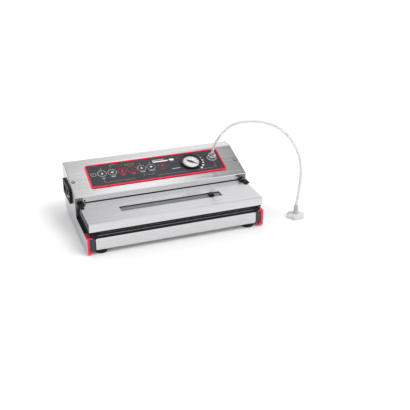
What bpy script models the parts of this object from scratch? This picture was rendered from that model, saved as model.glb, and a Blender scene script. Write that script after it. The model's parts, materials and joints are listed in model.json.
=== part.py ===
"""External vacuum sealer for bags: a bench machine with a hinged sealing lid, a sloping
control panel with a gauge, and a suction hose with a lobed adapter for containers.

Metres, +Z up, +X along the machine, -Y towards the user. The origin is the middle of the
machine's box, on the surface it stands on; the hose and its adapter are left out of that box.
"""

from math import atan2, cos, pi, radians, sin, tan

import bmesh
import bpy
from mathutils import Matrix, Vector

# ---------------------------------------------------------------- driving dimensions
WIDTH = 0.400
HEIGHT = 0.121
SIDE_FRONT_Y = -0.115
LID_FRONT_Y = -0.1185
HOUSING_FRONT_Y = -0.0125
CREASE_Y = 0.087
REAR_Y = 0.1185
SIDE_BOTTOM_Z = 0.003
SIDE_BOTTOM_REAR_Z = 0.008
PAN_BOTTOM_Z = 0.0105
LOW_TOP_Z = 0.040
STEP_Z = 0.088
INLET_PROUD = 0.005
ROCKER_PROUD = 0.001

SHEET = 0.001
GAP = 0.0003
CLEARANCE = 0.0005

# ---------------------------------------------------------------- front section
SIDE_OUT_X = WIDTH / 2
SIDE_IN_X = SIDE_OUT_X - SHEET
TRIM_THICK = 0.0044
TRIM_DEPTH = 0.026
TRIM_IN_X = SIDE_IN_X - GAP - TRIM_THICK
TRIM_LEDGE = 0.0070
BLOCK_WIDTH = 0.0128
BLOCK_BOTTOM_Z = 0.0105
BLOCK_TOP_Z = 0.0378
BLOCK_DEPTH = 0.0262
STRIP_X = 0.181
STRIP_BOTTOM_Z = 0.0125
STRIP_TOP_Z = 0.0378
STRIP_CORNER = 0.003
TRAY_FRONT_Y = -0.1135
TRAY_REAR_Y = HOUSING_FRONT_Y - GAP
TRAY_TOP_Z = 0.0475
TRAY_SKIRT_Z = (0.0382, 0.0410)
TRAY_STEP_Z = LOW_TOP_Z + 0.0007

# ---------------------------------------------------------------- sealing and suction area
SEAL_X = 0.1715
SEAL_Y = (-0.1115, -0.1025)
SEAL_BOTTOM_Z = 0.0428
SEAL_TOP_Z = 0.0498
RING_X = 0.1820
RING_Y = (-0.0985, -0.0275)
RING_WIDTH = 0.0055
TROUGH_X = 0.171
TROUGH_Y = (-0.0895, -0.0365)
TROUGH_FLOOR_Z = 0.0415
LOWER_RING_Z = (0.0448, 0.0495)

# ---------------------------------------------------------------- lid
LID_X = 0.194
LID_REAR_Y = HOUSING_FRONT_Y - 0.0020
LID_TOP_Z = 0.074
LID_LIP_Z = 0.0555
LINER_X = LID_X - SHEET - GAP
LINER_BOTTOM_Z = 0.0512
LID_CAVITY_TOP_Z = 0.0595
UPPER_RING_Z = (0.0498, 0.0526)
HINGE_Y = -0.0210
HINGE_Z = 0.0735
HINGE_R = 0.0065
PIN_R = 0.002
LID_OPEN_NOTCH_Y = HINGE_Y - 0.0085
KNUCKLE_X = (0.1860, 0.1978)
EAR_X = (0.1828, 0.1855)
SLOT_X = 0.115
SLOT_Y = (-0.0799, -0.0563)
SLOT_FLOOR_Z = 0.0708
KNOB_X = 0.0925
KNOB_SIZE = (0.0125, 0.0165, 0.0085)

# ---------------------------------------------------------------- sloping control panel
SLOPE_ANGLE = atan2(HEIGHT - STEP_Z, CREASE_Y - HOUSING_FRONT_Y)
FOIL_X = (-0.1545, 0.1580)
FOIL_S = (0.0250, 0.0945)
FOIL_THICK = 0.0012
FRAME_BORDER = 0.0032
FRAME_THICK = 0.0020
FRAME_CORNER = 0.006
KEY_S = 0.0650
KEY_THICK = 0.0007
KEYS = {
    "key_power": (-0.1440, 0.0065),
    "key_seal_time_up": (-0.1245, 0.0090),
    "key_seal_time_down": (-0.1010, 0.0090),
    "key_seal": (-0.0780, 0.0085),
    "key_auto_vacuum": (-0.0545, 0.0105),
    "key_vacuum_level": (-0.0325, 0.0088),
    "key_manual_vacuum": (-0.0100, 0.0090),
    "key_stop": (0.0170, 0.0088),
}
WINDOW_X = (-0.0700, -0.0440)
WINDOW_S = (0.0785, 0.0885)
GAUGE_XS = (0.0855, 0.0610)
GAUGE_R = 0.025
GAUGE_BODY_R = 0.0195
GAUGE_REST_ANGLE = radians(-39)
PORT_XS = (0.1395, 0.0675)
NUT_R = 0.0102
NUT_LOBES = 6
NUT_TOP_R = 0.0070
NUT_H = (0.0031, 0.0090, 0.0142)
STEM_R = 0.0050
STEM_TOP = 0.0100
STEM_LOW = -0.0160
HOSE_R = 0.0030

# ---------------------------------------------------------------- mains inlet on the left side
INLET_Y = 0.0625
INLET_Z = 0.0745
INLET_SIZE = (0.074, 0.036)
INLET_BODY = (0.062, 0.028)
INLET_DEPTH = 0.024
SOCKET_Y = 0.0160
SOCKET_SIZE = (0.0245, 0.0170)
ROCKER_Y = -0.0165
ROCKER_SIZE = (0.0140, 0.0215)
ROCKER_TILT = radians(8)

# ---------------------------------------------------------------- hose and its adapter
ADAPTER_XY = (0.2908, -0.0988)
ADAPTER_R = 0.0215
ADAPTER_TOP_Z = 0.0100
SOCKET_R = 0.0048
SOCKET_TOP_Z = 0.0300
HOSE_ROUTE = (
    (0.1395, 0.0469, 0.1236),
    (0.1402, 0.0448, 0.1330),
    (0.1480, 0.0360, 0.1610),
    (0.1690, 0.0165, 0.1960),
    (0.2010, -0.0130, 0.2140),
    (0.2350, -0.0450, 0.2160),
    (0.2670, -0.0755, 0.1975),
    (0.2890, -0.0970, 0.1540),
    (0.2950, -0.1030, 0.1080),
    (0.2930, -0.1010, 0.0600),
    (0.2908, -0.0988, 0.0303),
)

FOOT_R = 0.0125
FOOT_XY = (0.168, 0.1005)

COLOURS = {
    "steel": ((0.62, 0.63, 0.65), 0.32, 1.0),
    "crimson": ((0.72, 0.0, 0.045), 0.38, 0.0),
    "slate": ((0.055, 0.067, 0.078), 0.45, 0.0),
    "black": ((0.012, 0.012, 0.013), 0.5, 0.0),
    "rubber": ((0.015, 0.015, 0.016), 0.8, 0.0),
    "foam": ((0.035, 0.035, 0.037), 0.9, 0.0),
    "foil": ((0.045, 0.043, 0.048), 0.5, 0.0),
    "aluminium": ((0.45, 0.46, 0.47), 0.4, 1.0),
    "silicone": ((0.5, 0.5, 0.5), 0.6, 0.0),
    "white": ((0.85, 0.85, 0.84), 0.4, 0.0),
    "clear": ((0.85, 0.9, 0.9), 0.1, 0.0),
    "tube": ((0.75, 0.77, 0.78), 0.3, 0.0),
    "brass": ((0.6, 0.45, 0.2), 0.35, 1.0),
    "board": ((0.02, 0.16, 0.07), 0.5, 0.0),
    "grey": ((0.30, 0.31, 0.32), 0.5, 0.0),
}


# ---------------------------------------------------------------- scene helpers
def clear_scene():
    for obj in list(bpy.data.objects):
        bpy.data.objects.remove(obj)


def new_collection(name):
    collection = bpy.data.collections.new(name)
    bpy.context.scene.collection.children.link(collection)
    return collection


def material(name):
    found = bpy.data.materials.get(name)
    if found:
        return found
    colour, roughness, metallic = COLOURS[name]
    made = bpy.data.materials.new(name)
    made.use_nodes = True
    shader = made.node_tree.nodes["Principled BSDF"]
    shader.inputs["Base Color"].default_value = (*colour, 1.0)
    shader.inputs["Roughness"].default_value = roughness
    shader.inputs["Metallic"].default_value = metallic
    return made


def place(obj, location=(0, 0, 0), rotation=(0, 0, 0), parent=None):
    obj.location = location
    obj.rotation_euler = rotation
    obj.parent = parent or MACHINE
    return obj


def empty(name, location=(0, 0, 0), rotation=(0, 0, 0), parent=None):
    obj = bpy.data.objects.new(name, None)
    obj.empty_display_size = 0.02
    PARTS.objects.link(obj)
    obj.location = location
    obj.rotation_euler = rotation
    obj.parent = parent
    return obj


def part(name, mesh, colour, sharp=35):
    obj = bpy.data.objects.new(name, mesh)
    PARTS.objects.link(obj)
    mesh.materials.clear()
    mesh.materials.append(material(colour))
    mesh.shade_smooth()
    mesh.set_sharp_from_angle(angle=radians(sharp))
    return obj


def cutter(name, mesh):
    obj = bpy.data.objects.new(name, mesh)
    CUTTERS.objects.link(obj)
    obj.hide_render = True
    obj.display_type = "WIRE"
    return obj


def boolean(obj, other, operation="DIFFERENCE"):
    modifier = obj.modifiers.new(operation.lower(), "BOOLEAN")
    modifier.operation = operation
    modifier.object = other
    modifier.solver = "EXACT"


def bevel(obj, width, segments=2, angle=40):
    modifier = obj.modifiers.new("rounded edges", "BEVEL")
    modifier.width = width
    modifier.segments = segments
    modifier.limit_method = "ANGLE"
    modifier.angle_limit = radians(angle)
    modifier.harden_normals = False


# ---------------------------------------------------------------- shape helpers
def box_mesh(name, low, high):
    """A closed box between two corners."""
    mesh = bpy.data.meshes.new(name)
    shape = bmesh.new()
    bmesh.ops.create_cube(shape, size=1)
    size = [h - l for l, h in zip(low, high)]
    middle = [(h + l) / 2 for l, h in zip(low, high)]
    bmesh.ops.scale(shape, vec=size, verts=shape.verts)
    bmesh.ops.translate(shape, vec=middle, verts=shape.verts)
    shape.to_mesh(mesh)
    shape.free()
    return mesh


def cylinder_mesh(name, radius, length, segments=32, top_radius=None):
    """A closed cylinder or cone along its own Z, centred on its origin."""
    mesh = bpy.data.meshes.new(name)
    shape = bmesh.new()
    top = radius if top_radius is None else top_radius
    bmesh.ops.create_cone(
        shape, cap_ends=True, segments=segments, radius1=radius, radius2=top, depth=length
    )
    shape.to_mesh(mesh)
    shape.free()
    return mesh


def corner_arc(before, corner, after, radius, steps):
    """The points of an arc of this radius that rounds one corner of a flat outline."""
    corner = Vector(corner)
    to_before = (Vector(before) - corner).normalized()
    to_after = (Vector(after) - corner).normalized()
    half = to_before.angle(to_after) / 2
    reach = radius / tan(half)
    centre = corner + (to_before + to_after).normalized() * radius / sin(half)
    start = corner + to_before * reach - centre
    end = corner + to_after * reach - centre
    turn = start.angle_signed(end)
    arc = []
    for i in range(steps + 1):
        spin = Matrix.Rotation(-turn * i / steps, 2)
        arc.append(tuple(centre + spin @ start))
    return arc


def rounded(points, radius, steps=4, closed=True):
    """An outline with each corner rounded; an open outline keeps its two ends."""
    last = len(points) - 1
    outline = []
    for i, corner in enumerate(points):
        if not closed and i in (0, last):
            outline.append(tuple(corner))
            continue
        after = points[(i + 1) % len(points)]
        outline += corner_arc(points[i - 1], corner, after, radius, steps)
    return outline


def rectangle(low, high, radius=0.0, steps=4):
    corners = [(low[0], low[1]), (high[0], low[1]), (high[0], high[1]), (low[0], high[1])]
    return rounded(corners, radius, steps) if radius else corners


def circle(radius, centre=(0, 0), count=48):
    turns = [2 * pi * i / count for i in range(count)]
    return [(centre[0] + radius * cos(t), centre[1] + radius * sin(t)) for t in turns]


def lobed(radius, depth, lobes, per_lobe=10):
    """A wavy circle: its radius swings by depth, once for each lobe."""
    count = lobes * per_lobe
    outline = []
    for i in range(count):
        turn = 2 * pi * i / count
        reach = radius - depth * (1 - cos(lobes * turn)) / 2
        outline.append((reach * cos(turn), reach * sin(turn)))
    return outline


def flat_mesh(name, outlines, thickness):
    """A flat piece: the first outline is its edge and the others are holes, half of its
    thickness on each side of its own XY plane."""
    curve = bpy.data.curves.new(name, "CURVE")
    curve.dimensions = "2D"
    curve.fill_mode = "BOTH"
    curve.extrude = thickness / 2
    for outline in outlines:
        spline = curve.splines.new("POLY")
        spline.points.add(len(outline) - 1)
        for point, (x, y) in zip(spline.points, outline):
            point.co = (x, y, 0, 1)
        spline.use_cyclic_u = True
    guide = bpy.data.objects.new(name, curve)
    bpy.context.scene.collection.objects.link(guide)
    graph = bpy.context.evaluated_depsgraph_get()
    mesh = bpy.data.meshes.new_from_object(guide.evaluated_get(graph))
    bpy.data.objects.remove(guide)
    bpy.data.curves.remove(curve)
    shape = bmesh.new()
    shape.from_mesh(mesh)
    bmesh.ops.remove_doubles(shape, verts=shape.verts, dist=1e-6)
    bmesh.ops.recalc_face_normals(shape, faces=shape.faces)
    shape.to_mesh(mesh)
    shape.free()
    mesh.name = name
    return mesh


def level_flat(name, outlines, z_range):
    """A flat piece between two heights."""
    mesh = flat_mesh(name, outlines, z_range[1] - z_range[0])
    mesh.transform(Matrix.Translation((0, 0, sum(z_range) / 2)))
    return mesh


def prism_mesh(name, outline, z_range):
    """A closed upright prism on one flat outline, which may have notches."""
    mesh = bpy.data.meshes.new(name)
    shape = bmesh.new()
    floor = shape.faces.new([shape.verts.new((x, y, z_range[0])) for x, y in outline])
    raised = bmesh.ops.extrude_face_region(shape, geom=[floor], use_keep_orig=True)["geom"]
    moved = [v for v in raised if isinstance(v, bmesh.types.BMVert)]
    bmesh.ops.translate(shape, vec=(0, 0, z_range[1] - z_range[0]), verts=moved)
    bmesh.ops.recalc_face_normals(shape, faces=shape.faces)
    shape.to_mesh(mesh)
    shape.free()
    return mesh


def turned(name, profile, colour, steps=48, closed=False):
    """A turned piece from (radius, height) points that run down its outer side."""
    mesh = bpy.data.meshes.new(name)
    count = len(profile)
    edges = [(i, i + 1) for i in range(count - 1)]
    if closed:
        edges.append((count - 1, 0))
    mesh.from_pydata([(r, 0, z) for r, z in profile], edges, [])
    obj = part(name, mesh, colour)
    screw = obj.modifiers.new("turn", "SCREW")
    screw.axis = "Z"
    screw.steps = steps
    screw.render_steps = steps
    screw.use_merge_vertices = True
    screw.merge_threshold = 0.00002
    screw.use_smooth_shade = True
    return obj


def folded_sheet(name, profile, half_width, colour, inwards=-1.0):
    """Sheet metal folded along X: an open (y, z) profile, drawn out and given thickness."""
    mesh = bpy.data.meshes.new(name)
    shape = bmesh.new()
    line = [shape.verts.new((-half_width, y, z)) for y, z in profile]
    edges = [shape.edges.new(pair) for pair in zip(line, line[1:])]
    drawn = bmesh.ops.extrude_edge_only(shape, edges=edges)["geom"]
    moved = [v for v in drawn if isinstance(v, bmesh.types.BMVert)]
    bmesh.ops.translate(shape, vec=(2 * half_width, 0, 0), verts=moved)
    bmesh.ops.recalc_face_normals(shape, faces=shape.faces)
    shape.to_mesh(mesh)
    shape.free()
    obj = part(name, mesh, colour)
    thicken(obj, inwards)
    return obj


def thicken(obj, offset=-1.0, thickness=SHEET):
    solidify = obj.modifiers.new("sheet", "SOLIDIFY")
    solidify.thickness = thickness
    solidify.offset = offset
    solidify.use_even_offset = True


def tube(name, points, radius, colour, resolution=2):
    """A round tube with filled caps along points that are already close together."""
    curve = bpy.data.curves.new(name, "CURVE")
    curve.dimensions = "3D"
    curve.bevel_depth = radius
    curve.bevel_resolution = resolution
    curve.use_fill_caps = True
    spline = curve.splines.new("POLY")
    spline.points.add(len(points) - 1)
    for point, position in zip(spline.points, points):
        point.co = (*position, 1)
    obj = bpy.data.objects.new(name, curve)
    PARTS.objects.link(obj)
    curve.materials.append(material(colour))
    return obj


def smooth_route(route, spacing):
    """Points about this far apart on a smooth (Catmull-Rom) curve through a route."""
    ends = [Vector(p) for p in route]
    ends = [2 * ends[0] - ends[1], *ends, 2 * ends[-1] - ends[-2]]
    points = []
    for a, b, c, d in zip(ends, ends[1:], ends[2:], ends[3:]):
        count = max(1, round((c - b).length / spacing))
        for i in range(count):
            t = i / count
            points.append(
                0.5
                * (
                    2 * b
                    + (c - a) * t
                    + (2 * a - 5 * b + 4 * c - d) * t**2
                    + (3 * b - a - 3 * c + d) * t**3
                )
            )
    points.append(ends[-2])
    return [tuple(p) for p in points]


ALONG_X = (0, radians(90), 0)  # a cylinder's own Z becomes X
SIDEWAYS = (radians(90), 0, radians(90))  # a flat piece's own (x, y, z) become Y, Z, X
FACING_FRONT = (radians(90), 0, 0)  # a flat piece's own (x, y, z) become X, Z, -Y


# ---------------------------------------------------------------- base
def side_outline():
    """The L-shaped side of the machine: low in front, tall with a slope behind."""
    rear = REAR_Y - 0.0006
    return rounded(
        [
            (SIDE_FRONT_Y, SIDE_BOTTOM_Z),
            (rear, SIDE_BOTTOM_REAR_Z),
            (rear, HEIGHT),
            (CREASE_Y, HEIGHT),
            (HOUSING_FRONT_Y, STEP_Z),
            (HOUSING_FRONT_Y, LOW_TOP_Z),
            (SIDE_FRONT_Y, LOW_TOP_Z),
        ],
        0.0012,
        steps=2,
    )


def trim_outline():
    """The red end-piece seen from the front: a web with a ledge on top and a toe below."""
    web = TRIM_IN_X
    out = SIDE_IN_X - GAP
    top = LOW_TOP_Z + 0.0004
    ledge_x = TRIM_IN_X - TRIM_LEDGE
    toe_x = TRIM_IN_X - 0.0052
    return [
        (out, SIDE_BOTTOM_Z),
        (out, top),
        (ledge_x, top),
        (ledge_x, BLOCK_TOP_Z + GAP),
        (web, BLOCK_TOP_Z + GAP),
        (web, SIDE_BOTTOM_Z + 0.0068),
        (toe_x, SIDE_BOTTOM_Z + 0.0046),
        (toe_x, SIDE_BOTTOM_Z + 0.0022),
        (web, SIDE_BOTTOM_Z),
    ]


def build_sides():
    for side, sign in (("left", -1), ("right", 1)):
        panel = part(f"side_panel_{side}", flat_mesh("side", [side_outline()], SHEET), "steel")
        place(panel, (sign * (SIDE_OUT_X - SHEET / 2), 0, 0), SIDEWAYS)

        outline = [(sign * x, z) for x, z in trim_outline()]
        trim = part(f"side_trim_{side}", flat_mesh("trim", [outline], TRIM_DEPTH), "crimson")
        place(trim, (0, SIDE_FRONT_Y + TRIM_DEPTH / 2, 0), FACING_FRONT)
        bevel(trim, 0.0004, segments=2)

        inner = TRIM_IN_X - GAP - BLOCK_WIDTH
        low = (min(sign * inner, sign * (TRIM_IN_X - GAP)), SIDE_FRONT_Y + 0.0006, BLOCK_BOTTOM_Z)
        high = (low[0] + BLOCK_WIDTH, low[1] + BLOCK_DEPTH, BLOCK_TOP_Z)
        block = part(f"corner_block_{side}", box_mesh("block", low, high), "slate")
        place(block)
        bevel(block, 0.0009, segments=2)


def pan_outline(inset):
    """The pan from above: full width behind the red end-pieces, narrower between them."""
    wide = SIDE_IN_X - GAP - inset
    narrow = STRIP_X - 0.0006 - inset
    front = SIDE_FRONT_Y + 0.0016 + inset
    notch = SIDE_FRONT_Y + TRIM_DEPTH + 0.0012 + inset
    rear = REAR_Y - SHEET - CLEARANCE - inset
    return [
        (-narrow, front),
        (narrow, front),
        (narrow, notch),
        (wide, notch),
        (wide, rear),
        (-wide, rear),
        (-wide, notch),
        (-narrow, notch),
    ]


def build_pan():
    """The floor of the machine: a sheet-metal pan with low walls, open above."""
    top = STRIP_TOP_Z - 0.0012
    pan = part("base_pan", prism_mesh("pan", pan_outline(0), (PAN_BOTTOM_Z, top)), "steel")
    place(pan)
    hollow = prism_mesh("hollow", pan_outline(SHEET), (PAN_BOTTOM_Z + SHEET, top + 0.01))
    room = cutter("pan_room", hollow)
    place(room)
    boolean(pan, room)


def build_front_strip():
    low = (-STRIP_X, STRIP_BOTTOM_Z)
    high = (STRIP_X, STRIP_TOP_Z)
    outline = rectangle(low, high, STRIP_CORNER)
    strip = part("front_strip", flat_mesh("strip", [outline], SHEET * 1.4), "steel")
    place(strip, (0, SIDE_FRONT_Y + SHEET * 0.2, 0), FACING_FRONT)


def foot_profile():
    return [
        (0, PAN_BOTTOM_Z - GAP),
        (FOOT_R - 0.0022, PAN_BOTTOM_Z - GAP),
        (FOOT_R - 0.0006, PAN_BOTTOM_Z - 0.0022),
        (FOOT_R, 0.0014),
        (FOOT_R - 0.0012, 0),
        (0, 0),
    ]


def build_feet():
    spots = {
        "front_left": (-1, -1),
        "front_right": (1, -1),
        "rear_left": (-1, 1),
        "rear_right": (1, 1),
    }
    for spot, (side, end) in spots.items():
        foot = turned(f"foot_{spot}", foot_profile(), "rubber", steps=28)
        place(foot, (side * FOOT_XY[0], end * FOOT_XY[1], 0))


def upper_tray_outline():
    """The raised part of the tray, which the lid closes on."""
    low = (-LINER_X, TRAY_FRONT_Y + GAP)
    high = (LINER_X, TRAY_REAR_Y - GAP)
    return rectangle(low, high, 0.002, steps=2)


def ring_outlines(spread=0.0):
    """The racetrack of the foam seals; spread widens it on both sides, for a groove."""
    outer = rectangle(
        (-RING_X - spread, RING_Y[0] - spread),
        (RING_X + spread, RING_Y[1] + spread),
        0.012 + spread,
        steps=6,
    )
    inset = RING_WIDTH + spread
    inner = rectangle(
        (-RING_X + inset, RING_Y[0] + inset),
        (RING_X - inset, RING_Y[1] - inset),
        0.012 - inset,
        steps=6,
    )
    return [outer, inner]


def build_tray():
    """The black top of the low front: a skirt over the side walls and a raised middle."""
    wide = SIDE_IN_X - GAP
    narrow = TRIM_IN_X - TRIM_LEDGE - GAP
    outline = rectangle((-wide, TRAY_FRONT_Y), (wide, TRAY_REAR_Y))
    skirt = part("base_tray", level_flat("tray", [outline], TRAY_SKIRT_Z), "black")
    place(skirt)
    for sign in (-1, 1):
        x = sorted((sign * narrow, sign * WIDTH))
        low = (x[0], TRAY_FRONT_Y - 0.01, 0)
        high = (x[1], SIDE_FRONT_Y + TRIM_DEPTH + GAP, HEIGHT)
        room = cutter(f"trim_room_{sign}", box_mesh("room", low, high))
        place(room)
        boolean(skirt, room)
    raised = cutter(
        "tray_raised", level_flat("raised", [upper_tray_outline()], (TRAY_STEP_Z, TRAY_TOP_Z))
    )
    trough = cutter(
        "tray_trough",
        level_flat(
            "trough",
            [rectangle((-TROUGH_X, TROUGH_Y[0]), (TROUGH_X, TROUGH_Y[1]), 0.006)],
            (TROUGH_FLOOR_Z, TRAY_TOP_Z + 0.01),
        ),
    )
    groove = cutter(
        "tray_groove", level_flat("groove", ring_outlines(GAP), (LOWER_RING_Z[0] - GAP, 0.06))
    )
    bar_groove = cutter(
        "tray_bar_groove",
        box_mesh(
            "bar_groove",
            (-SEAL_X - GAP, SEAL_Y[0] - GAP, SEAL_BOTTOM_Z - GAP),
            (SEAL_X + GAP, SEAL_Y[1] + GAP, 0.06),
        ),
    )
    place(raised)
    boolean(skirt, raised, "UNION")
    for tool in (trough, groove, bar_groove):
        place(tool)
        boolean(skirt, tool)


def build_seals():
    gasket = part("lower_gasket", level_flat("ring", ring_outlines(), LOWER_RING_Z), "foam")
    place(gasket)
    bevel(gasket, 0.0008, segments=2)

    low = (-SEAL_X, SEAL_Y[0], SEAL_BOTTOM_Z)
    high = (SEAL_X, SEAL_Y[1], SEAL_TOP_Z - 0.0006)
    bar = part("seal_bar", box_mesh("bar", low, high), "aluminium")
    place(bar)
    bevel(bar, 0.0005, segments=2)

    middle = sum(SEAL_Y) / 2
    low = (-SEAL_X + 0.001, middle - 0.0025, SEAL_TOP_Z - 0.0006 + 0.0002)
    high = (SEAL_X - 0.001, middle + 0.0025, SEAL_TOP_Z)
    strip = part("heating_strip", box_mesh("strip", low, high), "brass")
    place(strip)


# ---------------------------------------------------------------- housing
def housing_profile():
    """The cover from the tray up the step, over the slope and the top, and down the back."""
    rear = REAR_Y - SHEET - GAP
    return rounded(
        [
            (HOUSING_FRONT_Y, LOW_TOP_Z + 0.003),
            (HOUSING_FRONT_Y, STEP_Z),
            (CREASE_Y, HEIGHT),
            (rear, HEIGHT),
            (rear, HEIGHT - 0.012),
        ],
        0.0015,
        steps=4,
        closed=False,
    )


def build_housing():
    cover = folded_sheet("housing_cover", housing_profile(), SIDE_IN_X - GAP, "steel")
    place(cover)
    gauge_hole = cutter("gauge_hole", cylinder_mesh("hole", GAUGE_BODY_R + CLEARANCE, 0.03, 48))
    place(gauge_hole, (*GAUGE_XS, 0), parent=SLOPE)
    port_hole = cutter("port_hole", cylinder_mesh("hole", STEM_R + GAP, 0.03, 32))
    place(port_hole, (*PORT_XS, 0), parent=SLOPE)
    for hole in (gauge_hole, port_hole):
        boolean(cover, hole)

    slots = []
    for group in (-0.115, 0.115):
        for i in range(9):
            x = group + (i - 4) * 0.0095
            slots.append(rectangle((x - 0.0019, 0.050), (x + 0.0019, 0.092), 0.0018, steps=3))
    edge = rectangle((-SIDE_IN_X + GAP, PAN_BOTTOM_Z), (SIDE_IN_X - GAP, HEIGHT - 0.0012))
    rear = part("rear_panel", flat_mesh("rear", [edge, *slots], SHEET), "steel")
    place(rear, (0, REAR_Y - SHEET / 2, 0), FACING_FRONT)


def build_hinge_brackets():
    """A plate on the step of the housing with an ear for the pin, on each side."""
    for side, sign in (("left", -1), ("right", 1)):
        plate_y = (HOUSING_FRONT_Y - GAP - 0.0011, HOUSING_FRONT_Y - GAP)
        x = sorted((sign * EAR_X[0], sign * (SIDE_OUT_X - 0.0012)))
        plate = box_mesh("bracket", (x[0], plate_y[0], 0.0630), (x[1], plate_y[1], 0.0862))
        bracket = part(f"hinge_bracket_{side}", plate, "slate")
        place(bracket)
        ear_outline = rounded(
            [
                (HINGE_Y - HINGE_R, HINGE_Z - 0.0052),
                (plate_y[0] + 0.0006, HINGE_Z - 0.0092),
                (plate_y[0] + 0.0006, HINGE_Z + 0.0086),
                (HINGE_Y - HINGE_R, HINGE_Z + 0.0052),
            ],
            0.002,
            steps=3,
        )
        ear = cutter(f"ear_{side}", flat_mesh("ear", [ear_outline], EAR_X[1] - EAR_X[0]))
        place(ear, (sign * sum(EAR_X) / 2, 0, 0), SIDEWAYS)
        boolean(bracket, ear, "UNION")
        hole = cutter(f"ear_hole_{side}", cylinder_mesh("hole", PIN_R + GAP, 0.01, 24))
        place(hole, (sign * sum(EAR_X) / 2, HINGE_Y, HINGE_Z), ALONG_X)
        boolean(bracket, hole)


# ---------------------------------------------------------------- lid
def lid_place(obj, location=(0, 0, 0), rotation=(0, 0, 0)):
    """Places a lid piece, given from the machine's origin, on the lid's hinge axis."""
    moved = Vector(location) - Vector((0, HINGE_Y, HINGE_Z))
    return place(obj, moved, rotation, LID)


def corner_notches(tag, side_x, from_y, from_z):
    """Cutters that clear the lid's rear corners for the hinge knuckles and ears."""
    tools = []
    for sign in (-1, 1):
        x = sorted((sign * side_x, sign * (LID_X + 0.01)))
        low = (x[0], from_y, from_z)
        high = (x[1], LID_REAR_Y + 0.02, LID_TOP_Z + 0.02)
        tools.append(cutter(f"{tag}_notch_{sign}", box_mesh("notch", low, high)))
        lid_place(tools[-1])
    return tools


def build_lid_shell():
    """The folded stainless lid: a box without a floor, with a slot and notched rear corners."""
    low = (-LID_X, LID_FRONT_Y, LID_LIP_Z)
    high = (LID_X, LID_REAR_Y, LID_TOP_Z)
    mesh = box_mesh("lid_shell", low, high)
    shape = bmesh.new()
    shape.from_mesh(mesh)
    floor = [f for f in shape.faces if f.normal.z < -0.9]
    bmesh.ops.delete(shape, geom=floor, context="FACES_ONLY")
    shape.to_mesh(mesh)
    shape.free()
    shell = part("lid_shell", mesh, "steel")
    lid_place(shell)
    bevel(shell, 0.0012, segments=3)
    thicken(shell)
    outline = rectangle((-SLOT_X, SLOT_Y[0]), (SLOT_X, SLOT_Y[1]), 0.0015, steps=2)
    slot = cutter("lid_slot", level_flat("slot", [outline], (LID_TOP_Z - 0.005, LID_TOP_Z + 0.005)))
    lid_place(slot)
    boolean(shell, slot)
    for tool in corner_notches("shell", EAR_X[0] - 0.0006, LID_OPEN_NOTCH_Y, 0.05):
        boolean(shell, tool)


def build_lid_liner():
    """The black moulding inside the lid, with the upper half of the vacuum space."""
    low = (-LINER_X, LID_FRONT_Y + SHEET + GAP)
    high = (LINER_X, LID_REAR_Y - SHEET - GAP)
    top = LID_TOP_Z - SHEET - GAP
    liner = part(
        "lid_liner",
        level_flat("liner", [rectangle(low, high, 0.0015, steps=2)], (LINER_BOTTOM_Z, top)),
        "black",
    )
    lid_place(liner)
    recess = rectangle((-SLOT_X - 0.001, SLOT_Y[0] - 0.001), (SLOT_X + 0.001, SLOT_Y[1] + 0.001))
    tools = [
        level_flat(
            "cavity",
            [rectangle((-TROUGH_X, TROUGH_Y[0]), (TROUGH_X, TROUGH_Y[1]), 0.006)],
            (0.04, LID_CAVITY_TOP_Z),
        ),
        level_flat("groove", ring_outlines(GAP), (0.04, UPPER_RING_Z[1] + GAP)),
        box_mesh(
            "strip_groove",
            (-SEAL_X - GAP, SEAL_Y[0] - GAP, 0.04),
            (SEAL_X + GAP, SEAL_Y[1] + GAP, SEAL_TOP_Z + 0.0035 + GAP),
        ),
        level_flat("rail_recess", [recess], (SLOT_FLOOR_Z - 0.0045 - GAP, 0.09)),
    ]
    for i, mesh in enumerate(tools):
        tool = cutter(f"liner_cut_{i}", mesh)
        lid_place(tool)
        boolean(liner, tool)
    for tool in corner_notches("liner", EAR_X[0] - 0.0020, LID_OPEN_NOTCH_Y - 0.0015, 0.04):
        boolean(liner, tool)


def build_lid_seals():
    ring = part("upper_gasket", level_flat("ring", ring_outlines(), UPPER_RING_Z), "foam")
    lid_place(ring)
    bevel(ring, 0.0006, segments=2)

    low = (-SEAL_X, SEAL_Y[0], SEAL_TOP_Z + GAP)
    high = (SEAL_X, SEAL_Y[1], SEAL_TOP_Z + 0.0035)
    strip = part("pressure_strip", box_mesh("strip", low, high), "silicone")
    lid_place(strip)
    bevel(strip, 0.0008, segments=2)


def build_cutter_rail():
    low = (-SLOT_X - 0.0006, SLOT_Y[0] - 0.0006, SLOT_FLOOR_Z - 0.0045)
    high = (SLOT_X + 0.0006, SLOT_Y[1] + 0.0006, SLOT_FLOOR_Z)
    rail = part("cutter_rail", box_mesh("rail", low, high), "grey")
    lid_place(rail)
    middle = sum(SLOT_Y) / 2
    low = (-SLOT_X + 0.002, middle - 0.0009, SLOT_FLOOR_Z - 0.0030)
    high = (SLOT_X - 0.002, middle + 0.0009, SLOT_FLOOR_Z + 0.005)
    groove = cutter("rail_groove", box_mesh("groove", low, high))
    lid_place(groove)
    boolean(rail, groove)


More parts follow.
